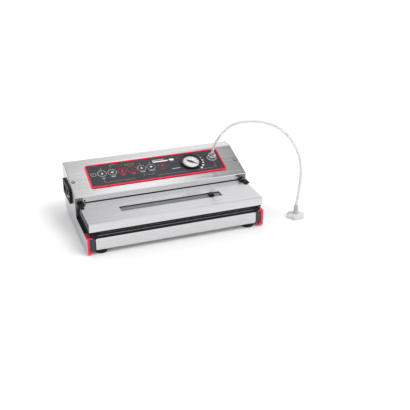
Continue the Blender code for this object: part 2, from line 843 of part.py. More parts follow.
def build_knuckles():
    """Black hinge arms on the lid's rear corners, and the steel pins they turn on."""
    arm_front = HINGE_Y - 0.0200
    rest_z = LID_TOP_Z + GAP
    for side, sign in (("left", -1), ("right", 1)):
        width = KNUCKLE_X[1] - KNUCKLE_X[0]
        round_bar = cylinder_mesh("barrel", HINGE_R, width, 32)
        barrel = part(f"hinge_knuckle_{side}", round_bar, "black")
        lid_place(barrel, (sign * sum(KNUCKLE_X) / 2, HINGE_Y, HINGE_Z), ALONG_X)
        arm_outline = rounded(
            [
                (arm_front, rest_z),
                (HINGE_Y + 0.0005, rest_z),
                (HINGE_Y + 0.0005, HINGE_Z + HINGE_R - 0.0001),
                (arm_front, HINGE_Z + HINGE_R - 0.0014),
            ],
            0.0011,
            steps=3,
        )
        arm_mesh = flat_mesh("arm", [arm_outline], width - 0.0006)
        arm = cutter(f"arm_{side}", arm_mesh)
        lid_place(arm, (sign * sum(KNUCKLE_X) / 2, 0, 0), SIDEWAYS)
        boolean(barrel, arm, "UNION")
        bore = cutter(f"knuckle_bore_{side}", cylinder_mesh("bore", PIN_R + GAP, 0.02, 24))
        lid_place(bore, (sign * sum(KNUCKLE_X) / 2, HINGE_Y, HINGE_Z), ALONG_X)
        boolean(barrel, bore)

        pin_x = (EAR_X[0] + 0.0002, KNUCKLE_X[1] + 0.0004)
        length = pin_x[1] - pin_x[0]
        pin = part(f"hinge_pin_{side}", cylinder_mesh("pin", PIN_R, length, 20), "steel")
        lid_place(pin, (sign * sum(pin_x) / 2, HINGE_Y, HINGE_Z), ALONG_X)


def build_cutter_slider():
    """The knob that slides along the slot, with its small blade in the rail's groove."""
    middle = sum(SLOT_Y) / 2
    bottom = SLOT_FLOOR_Z + GAP
    width, depth, height = KNOB_SIZE
    low = (-width / 2, -depth / 2, bottom - HINGE_Z)
    high = (width / 2, depth / 2, bottom + height - HINGE_Z)
    knob = part("cutter_knob", box_mesh("knob", low, high), "black")
    place(knob, (KNOB_X, middle - HINGE_Y, 0), parent=LID)
    bevel(knob, 0.0014, segments=3)

    low = (-0.0045, -0.0004, SLOT_FLOOR_Z - 0.0024 - HINGE_Z)
    high = (0.0045, 0.0004, bottom - GAP - HINGE_Z)
    blade = part("cutter_blade", box_mesh("blade", low, high), "steel")
    place(blade, (KNOB_X, middle - HINGE_Y, 0), parent=LID)


# ---------------------------------------------------------------- control panel
def slope_point(x, s, height):
    """A point given on the slope, in the machine's own coordinates."""
    return (
        x,
        HOUSING_FRONT_Y + s * cos(SLOPE_ANGLE) - height * sin(SLOPE_ANGLE),
        STEP_Z + s * sin(SLOPE_ANGLE) + height * cos(SLOPE_ANGLE),
    )


def on_slope(obj, x, s, height, spin=0.0):
    return place(obj, (x, s, height), (0, 0, spin), SLOPE)


def build_foil():
    border = FRAME_BORDER + GAP
    edge = rectangle(
        (FOIL_X[0] - border, FOIL_S[0] - border), (FOIL_X[1] + border, FOIL_S[1] + border),
        FRAME_CORNER, steps=5,
    )
    hole = rectangle(
        (FOIL_X[0] - GAP, FOIL_S[0] - GAP), (FOIL_X[1] + GAP, FOIL_S[1] + GAP), 0.003, steps=4
    )
    frame = part("foil_frame", flat_mesh("frame", [edge, hole], FRAME_THICK), "crimson")
    on_slope(frame, 0, 0, GAP + FRAME_THICK / 2)
    bevel(frame, 0.0004, segments=2)

    outlines = [rectangle((FOIL_X[0], FOIL_S[0]), (FOIL_X[1], FOIL_S[1]), 0.0028, steps=4)]
    for x, radius in KEYS.values():
        outlines.append(circle(radius + GAP, (x, KEY_S), 36))
    outlines.append(rectangle(
        (WINDOW_X[0] - GAP, WINDOW_S[0] - GAP), (WINDOW_X[1] + GAP, WINDOW_S[1] + GAP),
        0.001 + GAP, steps=2,
    ))
    outlines.append(circle(GAUGE_BODY_R + CLEARANCE, GAUGE_XS))
    outlines.append(circle(STEM_R + GAP, PORT_XS, 32))
    foil = part("control_foil", flat_mesh("foil", outlines, FOIL_THICK), "foil")
    on_slope(foil, 0, 0, GAP + FOIL_THICK / 2)

    outline = rectangle((WINDOW_X[0], WINDOW_S[0]), (WINDOW_X[1], WINDOW_S[1]), 0.001, steps=2)
    window = part("display_window", flat_mesh("window", [outline], FOIL_THICK - 0.0003), "clear")
    on_slope(window, 0, 0, GAP + FOIL_THICK / 2)


def build_keys():
    foil_top = GAP + FOIL_THICK
    for name, (x, radius) in KEYS.items():
        key = part(name, cylinder_mesh(name, radius, KEY_THICK, 36), "foil")
        on_slope(key, x, KEY_S, foil_top - KEY_THICK / 2)
        bevel(key, 0.00015, segments=1)


def build_gauge():
    foil_top = GAP + FOIL_THICK
    flange = foil_top + GAP
    floor = 0.0030
    ledge = 0.0054
    # From the middle of the cup's floor, up over the rim, and down outside to the end cap.
    case = [
        (0, floor),
        (GAUGE_R - 0.0040, floor),
        (GAUGE_R - 0.0040, ledge),
        (GAUGE_R - 0.0030, ledge),
        (GAUGE_R - 0.0030, 0.0066),
        (GAUGE_R - 0.0022, 0.0070),
        (GAUGE_R - 0.0006, 0.0070),
        (GAUGE_R, 0.0062),
        (GAUGE_R, flange),
        (GAUGE_BODY_R, flange),
        (GAUGE_BODY_R, -0.0210),
        (0, -0.0210),
    ]
    ring = turned("gauge_case", case, "black")
    on_slope(ring, *GAUGE_XS, 0)

    dial = part("gauge_dial", cylinder_mesh("dial", GAUGE_R - 0.0044, 0.0004, 48), "white")
    on_slope(dial, *GAUGE_XS, floor + GAP + 0.0002)

    lens = part("gauge_lens", cylinder_mesh("lens", GAUGE_R - 0.0034, 0.0008, 48), "clear")
    on_slope(lens, *GAUGE_XS, ledge + GAP + 0.0004)


def build_needle():
    """A tapered pointer with a short heavy tail, turning on the dial's middle."""
    hub = 0.0022
    pointer = [(0.0152, -0.00025), (0.0152, 0.00025), (hub * 0.93, 0.0009)]
    hub_top = [(hub * cos(t), hub * sin(t)) for t in (pi * i / 8 for i in range(2, 7))]
    tail = [(-hub * 0.93, 0.0009), (-0.0082, 0.0012), (-0.0082, -0.0012), (-hub * 0.93, -0.0009)]
    hub_low = [(x, -y) for x, y in reversed(hub_top)]
    outline = [*pointer, *hub_top, *tail, *hub_low, (hub * 0.93, -0.0009)]
    needle = part("gauge_needle", flat_mesh("needle", [outline], 0.0005), "black")
    on_slope(needle, *GAUGE_XS, 0.0046, GAUGE_REST_ANGLE)


def build_port():
    """The suction stem through the panel, and the lobed nut that holds the hose on it."""
    foil_top = GAP + FOIL_THICK
    flange_low = foil_top + GAP
    flange_top = flange_low + 0.0008
    flange_r = 0.0080
    bore_r = HOSE_R - 0.0008
    stem = [
        (bore_r, STEM_TOP),
        (STEM_R, STEM_TOP),
        (STEM_R, flange_top),
        (flange_r, flange_top),
        (flange_r, flange_low),
        (STEM_R, flange_low),
        (STEM_R, STEM_LOW),
        (bore_r, STEM_LOW),
    ]
    port = turned("vacuum_port", stem, "steel", steps=32, closed=True)
    on_slope(port, *PORT_XS, 0)

    low, shoulder, top = NUT_H
    outline = lobed(NUT_R, 0.0016, NUT_LOBES)
    nut_mesh = flat_mesh("nut", [outline], shoulder - low)
    nut = part("port_nut", nut_mesh, "steel")
    on_slope(nut, *PORT_XS, (low + shoulder) / 2)
    bevel(nut, 0.0005, segments=2)
    upper = cutter("nut_upper", cylinder_mesh("upper", NUT_TOP_R, top - shoulder + 0.001, 36))
    on_slope(upper, *PORT_XS, (top + shoulder - 0.001) / 2, spin=pi / 36)
    boolean(nut, upper, "UNION")
    stem_room = STEM_TOP + GAP
    room = cutter("nut_room", cylinder_mesh("room", STEM_R + GAP, stem_room, 32))
    on_slope(room, *PORT_XS, stem_room / 2)
    boolean(nut, room)
    bore = cutter("nut_bore", cylinder_mesh("bore", HOSE_R + GAP, 0.02, 24))
    on_slope(bore, *PORT_XS, 0.012)
    boolean(nut, bore)


def build_hose():
    """The free hose, whose lower end stands in the adapter that plugs into a container."""
    hose = tube("hose", smooth_route(HOSE_ROUTE, 0.014), HOSE_R, "tube")
    place(hose)

    x, y = ADAPTER_XY
    socket = [
        (0, SOCKET_TOP_Z),
        (SOCKET_R - 0.0008, SOCKET_TOP_Z),
        (SOCKET_R, SOCKET_TOP_Z - 0.0008),
        (SOCKET_R, ADAPTER_TOP_Z + 0.0040),
        (SOCKET_R + 0.0022, ADAPTER_TOP_Z + 0.0030),
        (SOCKET_R + 0.0022, ADAPTER_TOP_Z + GAP),
        (0, ADAPTER_TOP_Z + GAP),
    ]
    place(turned("hose_socket", socket, "grey", steps=28), (x, y, 0))

    outline = lobed(ADAPTER_R, 0.0040, 6)
    disc = part("adapter_disc", flat_mesh("disc", [outline], ADAPTER_TOP_Z), "white")
    place(disc, (x, y, ADAPTER_TOP_Z / 2))
    bevel(disc, 0.0014, segments=2)
    mouth = cutter("disc_mouth", cylinder_mesh("mouth", 0.0105, 0.012, 36))
    place(mouth, (x, y, 0))
    boolean(disc, mouth)


# ---------------------------------------------------------------- mains inlet
def build_inlet():
    """A flanged mains module in the left side, with a three-pin recess and a rocker."""
    outer = -SIDE_OUT_X - INLET_PROUD
    length, height = INLET_SIZE
    flange = rectangle((-length / 2, -height / 2), (length / 2, height / 2), 0.005, steps=4)
    inlet = part("inlet_housing", flat_mesh("inlet", [flange], INLET_PROUD - GAP), "black")
    place(inlet, (outer + (INLET_PROUD - GAP) / 2, INLET_Y, INLET_Z), SIDEWAYS)
    bevel(inlet, 0.0012, segments=2)
    body_l, body_h = INLET_BODY
    low = (outer + 0.001, INLET_Y - body_l / 2, INLET_Z - body_h / 2)
    high = (-SIDE_OUT_X + INLET_DEPTH, INLET_Y + body_l / 2, INLET_Z + body_h / 2)
    body = cutter("inlet_body", box_mesh("body", low, high))
    place(body)
    boolean(inlet, body, "UNION")

    width, tall = SOCKET_SIZE
    chamfer = 0.0045
    recess = [
        (-width / 2, -tall / 2),
        (width / 2, -tall / 2),
        (width / 2, tall / 2 - chamfer),
        (width / 2 - chamfer, tall / 2),
        (-width / 2 + chamfer, tall / 2),
        (-width / 2, tall / 2 - chamfer),
    ]
    socket = cutter("inlet_socket", flat_mesh("socket", [recess], 0.040))
    place(socket, (outer, INLET_Y + SOCKET_Y, INLET_Z), SIDEWAYS)
    boolean(inlet, socket)

    across, tall = ROCKER_SIZE
    y = INLET_Y + ROCKER_Y
    low = (outer - 0.01, y - across / 2 - CLEARANCE, INLET_Z - tall / 2 - CLEARANCE)
    high = (outer + 0.013, y + across / 2 + CLEARANCE, INLET_Z + tall / 2 + CLEARANCE)
    window = cutter("rocker_window", box_mesh("window", low, high))
    place(window)
    boolean(inlet, window)

    low_z, high_z = INLET_Z - INLET_BODY[1] / 2, INLET_Z + INLET_BODY[1] / 2
    cut_low = (-SIDE_OUT_X - 0.01, INLET_Y - body_l / 2 - GAP, low_z - GAP)
    cut_high = (-SIDE_OUT_X + 0.01, INLET_Y + body_l / 2 + GAP, high_z + GAP)
    opening = cutter("side_opening", box_mesh("opening", cut_low, cut_high))
    place(opening)
    boolean(bpy.data.objects["side_panel_left"], opening)


def build_rocker():
    """The mains switch: two faces that meet in a shallow V, tipping on a pivot behind them."""
    across, tall = ROCKER_SIZE
    half = tall / 2 - 0.0012
    outline = [
        (-0.0004, 0.0),
        (-0.0022, half),
        (0.0012, half + 0.0004),
        (0.0058, 0.0042),
        (0.0058, -0.0042),
        (0.0012, -half - 0.0004),
        (-0.0022, -half),
    ]
    rocker = part("rocker_switch", flat_mesh("rocker", [outline], across), "black")
    pivot = (-SIDE_OUT_X - INLET_PROUD + 0.0024, INLET_Y + ROCKER_Y, INLET_Z)
    # The outline's own x runs inwards from the face and its y runs up the machine's side.
    place(rocker, pivot, (radians(90), ROCKER_TILT, 0))
    bevel(rocker, 0.0004, segments=1)


# ---------------------------------------------------------------- inside
def build_inside():
    """The working parts on the pan, under the housing."""
    floor = PAN_BOTTOM_Z + SHEET + GAP
    core = box_mesh("core", (-0.170, -0.004, floor), (-0.108, 0.052, floor + 0.036))
    transformer = part("transformer", core, "grey")
    place(transformer)
    coil = box_mesh("winding", (-0.162, 0.004, floor + 0.004), (-0.116, 0.044, floor + 0.046))
    winding = cutter("winding", coil)
    place(winding)
    boolean(transformer, winding, "UNION")

    pump_y = 0.062
    pump_z = floor + 0.0235
    motor = part("pump_motor", cylinder_mesh("motor", 0.0210, 0.066, 36), "aluminium")
    place(motor, (-0.052, pump_y, pump_z), ALONG_X)
    bevel(motor, 0.002, segments=2)

    block = box_mesh("pump", (-0.0180, 0.038, floor), (0.044, 0.086, floor + 0.045))
    head = part("vacuum_pump", block, "black")
    place(head)
    bevel(head, 0.002, segments=2)
    barb = cutter("pump_barb", cylinder_mesh("barb", 0.0028, 0.012, 16))
    place(barb, (0.049, pump_y, pump_z), ALONG_X)
    boolean(head, barb, "UNION")

    valve_top = floor + 0.032
    body = box_mesh("valve", (0.104, 0.048, floor), (0.128, 0.072, valve_top))
    valve = part("solenoid_valve", body, "black")
    place(valve)
    barb = cutter("valve_barb", cylinder_mesh("barb", 0.0028, 0.012, 16))
    place(barb, (0.101, 0.060, pump_z), ALONG_X)
    boolean(valve, barb, "UNION")

    card = box_mesh("board", (-0.130, -0.036, -0.0008), (0.010, 0.020, 0.0008))
    board = part("control_board", card, "board")
    on_slope(board, 0.0, 0.060, -0.0085)

    x, s = PORT_XS
    below = slope_point(x, s, -0.0300)
    route = (
        slope_point(x, s, STEM_LOW - GAP),
        below,
        (x + 0.002, below[1] + 0.001, 0.070),
        (x - 0.010, 0.061, 0.058),
        (0.118, 0.0600, 0.0540),
        (0.116, 0.0600, valve_top + 0.0032),
    )
    inner = tube("inner_hose", smooth_route(route, 0.010), HOSE_R, "tube")
    place(inner)


clear_scene()
PARTS = new_collection("vacuum_sealer")
CUTTERS = new_collection("cutters")
# The inlet stands proud on the left, so the machine's own middle is right of its box's middle.
MACHINE = empty("machine", ((INLET_PROUD + ROCKER_PROUD) / 2, 0, 0))
SLOPE = empty("slope", (0, HOUSING_FRONT_Y, STEP_Z), (SLOPE_ANGLE, 0, 0), MACHINE)
LID = empty("lid_hinge", (0, HINGE_Y, HINGE_Z), parent=MACHINE)

build_sides()
build_pan()
build_front_strip()
build_feet()
build_tray()
build_seals()
build_housing()
build_hinge_brackets()
build_lid_shell()
build_lid_liner()
build_lid_seals()
build_cutter_rail()
build_knuckles()
build_cutter_slider()
build_foil()
build_keys()
build_gauge()
build_needle()
build_port()
build_hose()
build_inlet()
build_rocker()
build_inside()
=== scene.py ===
"""Looks of the external vacuum sealer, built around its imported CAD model."""

import json
from math import asin, cos, pi, radians, sin

import bmesh
import bpy
from mathutils import Matrix, Vector


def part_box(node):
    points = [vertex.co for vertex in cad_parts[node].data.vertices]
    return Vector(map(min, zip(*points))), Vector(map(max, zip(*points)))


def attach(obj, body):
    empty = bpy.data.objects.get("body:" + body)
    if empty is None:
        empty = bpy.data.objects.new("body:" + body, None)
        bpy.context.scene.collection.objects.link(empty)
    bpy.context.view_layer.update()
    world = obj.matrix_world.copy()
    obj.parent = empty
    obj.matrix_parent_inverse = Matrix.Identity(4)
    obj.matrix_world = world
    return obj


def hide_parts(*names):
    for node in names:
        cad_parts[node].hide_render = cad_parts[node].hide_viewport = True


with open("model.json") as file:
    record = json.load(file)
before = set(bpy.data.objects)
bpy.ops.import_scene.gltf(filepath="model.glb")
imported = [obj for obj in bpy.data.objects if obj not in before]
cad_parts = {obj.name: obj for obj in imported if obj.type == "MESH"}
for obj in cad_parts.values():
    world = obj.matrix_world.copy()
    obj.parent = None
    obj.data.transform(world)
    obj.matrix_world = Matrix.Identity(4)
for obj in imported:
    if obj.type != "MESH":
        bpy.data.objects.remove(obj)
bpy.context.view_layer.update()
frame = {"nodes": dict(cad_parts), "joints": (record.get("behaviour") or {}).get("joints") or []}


# ---------------------------------------------------------------- driving dimensions
def middle_of(node):
    """The middle of a CAD node's box."""
    low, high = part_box(node)
    return (low + high) / 2


MACHINE_X = middle_of("front_strip").x
MACHINE_MIDDLE = (0, 0, 0.05)
JOINTS = {joint["name"]: joint for joint in frame["joints"]}
PANEL_NORMAL = Vector(JOINTS["port_nut_turn"]["axis"]).normalized()
PANEL_UP = PANEL_NORMAL.cross(Vector((1, 0, 0)))
PANEL_TURN = Matrix((Vector((1, 0, 0)), PANEL_UP, PANEL_NORMAL)).transposed().to_4x4()
KEY_NAMES = [node for node in frame["nodes"] if node.startswith("key_")]
KEY_MIDDLE = middle_of("key_seal")
KEY_HALF_THICK = 0.00035
GAUGE_SPOT = Vector(JOINTS["gauge_needle_turn"]["pos_m"])

# The camera's place, its angles in degrees, and its lens and sensor in millimetres.
CAMERA_SPOT = (-0.4328, -1.4106, 0.7475)
CAMERA_AZIMUTH, CAMERA_ELEVATION, CAMERA_ROLL = -20.94, 25.85, 0.31
CAMERA_LENS, CAMERA_SENSOR = 63.0, 36

# Where each change in the room's light starts and ends, as a cosine, and its strength at each.
BAND_FALL = (0.08, 0.30, 0.62, 1.06)
HORIZON_FALL = (0.08, 0.28, 1.06, 0.0)
CORNER_FALL = (0.956, 0.996, 1.0, 0.15)
DARK_CORNER = (0.50, 0.42, 0.76)
KEY_LIGHT_FROM = (0.37, -0.35, 0.86)

# A printed mark's thickness, and the gap between it and the surface under it.
INK = 0.00006
INK_LIFT = 0.00002

HOSE_DIAMETER = 0.006
HOSE_BORE_R = 0.0019
HOSE_ROUTE = (
    (0.1395, 0.0469, 0.1236),
    (0.1402, 0.0448, 0.1330),
    (0.1480, 0.0360, 0.1610),
    (0.1690, 0.0165, 0.1960),
    (0.2010, -0.0130, 0.2140),
    (0.2350, -0.0450, 0.2160),
    (0.2670, -0.0755, 0.1975),
    (0.2890, -0.0970, 0.1540),
    (0.2950, -0.1030, 0.1080),
    (0.2930, -0.1010, 0.0600),
    (0.2908, -0.0988, 0.0303),
)


# ---------------------------------------------------------------- camera, floor and light
def add_object(name, data):
    obj = bpy.data.objects.new(name, data)
    bpy.context.scene.collection.objects.link(obj)
    return obj


def make_camera():
    """A long lens, from the front left and above."""
    azimuth, elevation, roll = map(radians, (CAMERA_AZIMUTH, CAMERA_ELEVATION, CAMERA_ROLL))
    back = Vector((sin(azimuth) * cos(elevation), -cos(azimuth) * cos(elevation), sin(elevation)))
    level = Vector((cos(azimuth), sin(azimuth), 0))
    upright = back.cross(level)
    right = level * cos(roll) + upright * sin(roll)
    up = upright * cos(roll) - level * sin(roll)
    data = bpy.data.cameras.new("camera")
    data.sensor_width = CAMERA_SENSOR
    data.lens = CAMERA_LENS
    camera = add_object("camera", data)
    turn = Matrix((right, up, back)).transposed().to_4x4()
    camera.matrix_world = Matrix.Translation(CAMERA_SPOT) @ turn
    bpy.context.scene.camera = camera


def make_floor():
    reach = 20.0
    corners = [(-reach, -reach, 0), (reach, -reach, 0), (reach, reach, 0), (-reach, reach, 0)]
    mesh = bpy.data.meshes.new("floor")
    mesh.from_pydata(corners, [], [(0, 1, 2, 3)])
    mesh.materials.append(plain_material("floor_white", (0.90, 0.90, 0.90), 0.75))
    add_object("floor", mesh)


def add_light(name, kind, location, target, power):
    """A light at a location that shines towards a target."""
    data = bpy.data.lights.new(name, kind)
    data.energy = power
    light = add_object(name, data)
    light.location = location
    light.rotation_euler = (Vector(target) - Vector(location)).to_track_quat("-Z", "Y").to_euler()
    return light


def add_softbox(name, location, size, power):
    """A rectangle of light that faces the machine."""
    data = add_light(name, "AREA", location, MACHINE_MIDDLE, power).data
    data.shape = "RECTANGLE"
    data.size, data.size_y = size


def world_fall(tree, value, start, end, low, high):
    """A smooth change of strength with a measure of the direction."""
    fall = tree.nodes.new("ShaderNodeMapRange")
    fall.interpolation_type = "SMOOTHSTEP"
    for socket, number in zip(("From Min", "From Max", "To Min", "To Max"), (start, end, low, high)):
        fall.inputs[socket].default_value = number
    tree.links.new(value, fall.inputs["Value"])
    return fall.outputs["Result"]


def along(tree, direction, axis):
    """How far a direction lies along an axis: the cosine between them."""
    product = tree.nodes.new("ShaderNodeVectorMath")
    product.operation = "DOT_PRODUCT"
    product.inputs[1].default_value = Vector(axis).normalized()
    tree.links.new(direction, product.inputs[0])
    return product.outputs["Value"]


def combined(tree, operation, *values):
    """The result of one arithmetic node on its values."""
    node = tree.nodes.new("ShaderNodeMath")
    node.operation = operation
    for value, socket in zip(values, node.inputs):
        tree.links.new(value, socket)
    return node.outputs["Value"]


def make_world():
    """A white room with a dimmer band above the horizon, before and behind the machine, and one
    dark high corner that the right end of the slope mirrors."""
    world = bpy.data.worlds.new("studio")
    world.use_nodes = True
    tree = world.node_tree
    direction = tree.nodes.new("ShaderNodeTexCoord").outputs["Generated"]
    sideways_part = combined(tree, "ABSOLUTE", along(tree, direction, (1, 0, 0)))
    side = world_fall(tree, sideways_part, *BAND_FALL)
    horizon = world_fall(tree, along(tree, direction, (0, 0, 1)), *HORIZON_FALL)
    corner = world_fall(tree, along(tree, direction, DARK_CORNER), *CORNER_FALL)
    strength = combined(tree, "MULTIPLY", combined(tree, "MAXIMUM", side, horizon), corner)
    background = tree.nodes["Background"]
    background.inputs["Color"].default_value = (1, 1, 1, 1)
    tree.links.new(strength, background.inputs["Strength"])
    bpy.context.scene.world = world


def make_light():
    """A wide sun that no surface mirrors, a small softbox behind and a large one in front."""
    bpy.context.scene.view_settings.view_transform = "Standard"
    make_world()
    key = add_light("key_light", "SUN", KEY_LIGHT_FROM, (0, 0, 0), 1.2)
    key.data.angle = radians(26)
    key.visible_glossy = False
    add_softbox("rear_softbox", (0.5, 1.0, 1.9), (0.5, 0.5), 0.5)
    add_softbox("front_softbox", (0.10, -2.1, 1.0), (1.6, 0.9), 1.5)


# ---------------------------------------------------------------- materials
NOISE_LOW, NOISE_HIGH = 0.3, 0.7


def plain_material(name, colour, roughness, metallic=0.0):
    material = bpy.data.materials.new(name)
    material.use_nodes = True
    shader = material.node_tree.nodes["Principled BSDF"]
    shader.inputs["Base Color"].default_value = (*colour, 1)
    shader.inputs["Roughness"].default_value = roughness
    shader.inputs["Metallic"].default_value = metallic
    return material


def scaled(colour, factor):
    """A colour made darker or lighter by a factor."""
    return tuple(min(1, factor * c) for c in colour)


class Look:
    """A material whose colour, roughness and bump come from object-space noise."""

    def __init__(self, name, colour, roughness, metallic=0.0, **sockets):
        self.material = plain_material(name, colour, roughness, metallic)
        self.tree = self.material.node_tree
        self.shader = self.tree.nodes["Principled BSDF"]
        self.colour = colour
        self.coordinates = self.node("ShaderNodeTexCoord").outputs["Object"]
        for socket, value in sockets.items():
            self.shader.inputs[socket.replace("_", " ")].default_value = value

    def node(self, kind, **values):
        made = self.tree.nodes.new(kind)
        for socket, value in values.items():
            made.inputs[socket.replace("_", " ")].default_value = value
        return made

    def link(self, output, node, socket):
        self.tree.links.new(output, node.inputs[socket])

    def noise(self, scale, detail=2.0):
        """Noise between about 0.3 and 0.7. The scale is in repeats a metre: one number, or one
        for each axis."""
        stretch = (scale,) * 3 if isinstance(scale, (int, float)) else scale
        mapping = self.node("ShaderNodeMapping", Scale=stretch)
        self.link(self.coordinates, mapping, "Vector")
        noise = self.node("ShaderNodeTexNoise", Scale=1.0, Detail=detail)
        self.link(mapping.outputs["Vector"], noise, "Vector")
        return noise.outputs["Fac"]

    def cells(self, scale):
        voronoi = self.node("ShaderNodeTexVoronoi", Scale=scale)
        self.link(self.coordinates, voronoi, "Vector")
        return voronoi.outputs["Distance"]

    def vary_roughness(self, value, low, high):
        mapped = self.node(
            "ShaderNodeMapRange", From_Min=NOISE_LOW, From_Max=NOISE_HIGH, To_Min=low, To_Max=high
        )
        self.link(value, mapped, "Value")
        self.link(mapped.outputs["Result"], self.shader, "Roughness")

    def vary_colour(self, value, other, start=NOISE_LOW, end=NOISE_HIGH):
        """Fades from the look's own colour to another one as the value rises."""
        ramp = self.node("ShaderNodeValToRGB")
        ramp.color_ramp.elements[0].position = start
        ramp.color_ramp.elements[0].color = (*self.colour, 1)
        ramp.color_ramp.elements[1].position = end
        ramp.color_ramp.elements[1].color = (*other, 1)
        self.link(value, ramp, "Fac")
        self.link(ramp.outputs["Color"], self.shader, "Base Color")

    def bump(self, value, depth, strength=0.5):
        bump = self.node("ShaderNodeBump", Strength=strength, Distance=depth)
        self.link(value, bump, "Height")
        self.link(bump.outputs["Normal"], self.shader, "Normal")


def brushed_steel(name, colour, grain, roughness=(0.18, 0.28)):
    """Bare metal; grain is the brushing's repeats a metre along X, Y and Z."""
    look = Look(name, colour, 0.3, 1.0)
    lines = look.noise(grain, detail=4)
    streaks = look.noise(tuple(repeats / 5 for repeats in grain), detail=3)
    look.vary_colour(streaks, scaled(colour, 0.92), 0.36, 0.62)
    look.vary_roughness(lines, *roughness)
    look.bump(lines, 0.00012, strength=0.25)
    return look.material


def moulded_plastic(name, colour, roughness, grain=1800, depth=0.00008, lighter=1.12, shine=0.5):
    """Plastic with a fine grain of the given depth, and slow drifts to a lighter colour."""
    look = Look(name, colour, roughness, Specular_IOR_Level=shine)
    speck = look.noise(grain, detail=2)
    look.vary_colour(look.noise(120), scaled(colour, lighter))
    look.vary_roughness(speck, roughness - 0.05, roughness + 0.08)
    look.bump(speck, depth, strength=0.4)
    return look.material


def sealing_foam():
    look = Look("sealing_foam", (0.020, 0.020, 0.022), 0.9, Specular_IOR_Level=0.2)
    pores = look.cells(900)
    look.vary_colour(pores, (0.055, 0.055, 0.058), 0.1, 0.6)
    look.bump(pores, 0.0004, strength=0.6)
    return look.material


def foil_film():
    look = Look("panel_foil", (0.018, 0.017, 0.023), 0.4, Specular_IOR_Level=0.25)
    speck = look.noise(1100, detail=3)
    look.vary_colour(speck, (0.100, 0.097, 0.112), 0.46, 0.66)
    look.vary_roughness(look.noise(400), 0.38, 0.48)
    look.bump(speck, 0.00005, strength=0.3)
    return look.material


def printed_ink(name, colour):
    look = Look(name, colour, 0.5)
    look.vary_colour(look.noise(900), scaled(colour, 0.9))
    return look.material


def clear_tube():
    """Clear PVC, a little milky; the bore inside it makes its edges look darker."""
    look = Look("clear_pvc", (0.95, 0.95, 0.95), 0.12, Transmission_Weight=0.7, IOR=1.42)
    milk = look.noise(60)
    look.vary_colour(milk, (0.91, 0.915, 0.92))
    look.vary_roughness(milk, 0.11, 0.14)
    return look.material


def clear_lens():
    look = Look("gauge_lens", (0.30, 0.31, 0.31), 0.06, Alpha=0.04, Specular_IOR_Level=0.3)
    look.vary_roughness(look.noise(200), 0.04, 0.08)
    return look.material


def make_materials():
    along_x = (4, 1400, 1400)
    along_y = (1400, 4, 1400)
    return {
        "steel": brushed_steel("brushed_steel", (0.735, 0.735, 0.745), along_x),
        # A darker copy of the housing's steel for the lid shell and front strip: painted shade.
        "front_steel_painted_shade": brushed_steel("front_steel_painted_shade", (0.675, 0.675, 0.69), along_x),
        # The side panels' steel is darker than the housing's as painted shade, and tinted lavender-grey.
        "side_steel_painted_shade": brushed_steel("side_steel_painted_shade", (0.54, 0.54, 0.59), along_y),
        "pin_steel": brushed_steel("ground_steel", (0.60, 0.61, 0.63), (600, 600, 600), (0.2, 0.3)),
        "port_metal": brushed_steel("port_silver", (0.64, 0.64, 0.65), (900, 900, 300), (0.08, 0.16)),
        "heater": brushed_steel("heater_strip", (0.45, 0.38, 0.28), along_x),
        "aluminium": brushed_steel("satin_aluminium", (0.55, 0.56, 0.57), along_x, (0.35, 0.45)),
        "red": moulded_plastic("crimson_plastic", (0.76, 0.005, 0.046), 0.3, 900, 0.00004),
        "slate": moulded_plastic("slate_plastic", (0.030, 0.040, 0.050), 0.5, shine=0.35),
        "black": moulded_plastic("black_plastic", (0.006, 0.006, 0.007), 0.5, shine=0.22),
        "gloss_black": moulded_plastic("gloss_black", (0.006, 0.006, 0.007), 0.2, 900, 0.00003, shine=0.4),
        "navy": moulded_plastic("navy_plastic", (0.026, 0.026, 0.042), 0.45, shine=0.3),
        "bracket": brushed_steel("gunmetal", (0.22, 0.215, 0.195), (500, 500, 500), (0.3, 0.42)),
        "rubber": moulded_plastic("foot_rubber", (0.009, 0.009, 0.010), 0.75, 1400, 0.0001, shine=0.25),
        "silicone": moulded_plastic("grey_silicone", (0.36, 0.34, 0.32), 0.6),
        "grey": moulded_plastic("grey_plastic", (0.165, 0.18, 0.182), 0.4),
        "socket": moulded_plastic("socket_grey", (0.42, 0.43, 0.43), 0.35),
        "white": moulded_plastic("white_plastic", (0.60, 0.60, 0.605), 0.32, 700, 0.00003, 1.03),
        "dial": moulded_plastic("dial_white", (0.74, 0.74, 0.735), 0.55, 2000, 0.00002, 1.02),
        "display": moulded_plastic("smoked_window", (0.010, 0.006, 0.008), 0.12, 500, 0.00001),
        "core": moulded_plastic("varnished_core", (0.12, 0.12, 0.13), 0.5),
        "board": moulded_plastic("circuit_board", (0.02, 0.16, 0.07), 0.45, 500),
        "label": moulded_plastic("label_film", (0.62, 0.62, 0.63), 0.45, 600, 0.00002, 1.03),
        "tape": moulded_plastic("ptfe_tape", (0.50, 0.44, 0.34), 0.5, 400, 0.00003),
        "foam": sealing_foam(),
        "foil": foil_film(),
        "tube": clear_tube(),
        "lens": clear_lens(),
        "white_ink": printed_ink("white_ink", (0.85, 0.85, 0.85)),
        "pale_ink": printed_ink("pale_ink", (0.58, 0.58, 0.60)),
        "grey_ink": printed_ink("grey_ink", (0.36, 0.35, 0.37)),
        "red_ink": printed_ink("red_ink", (0.80, 0.012, 0.035)),
        "dim_red_ink": printed_ink("dim_red_ink", (0.36, 0.012, 0.030)),
        "black_ink": printed_ink("black_ink", (0.015, 0.015, 0.016)),
        "line_ink": printed_ink("line_ink", (0.34, 0.34, 0.36)),
        "digit": printed_ink("unlit_digit", (0.30, 0.22, 0.23)),
    }


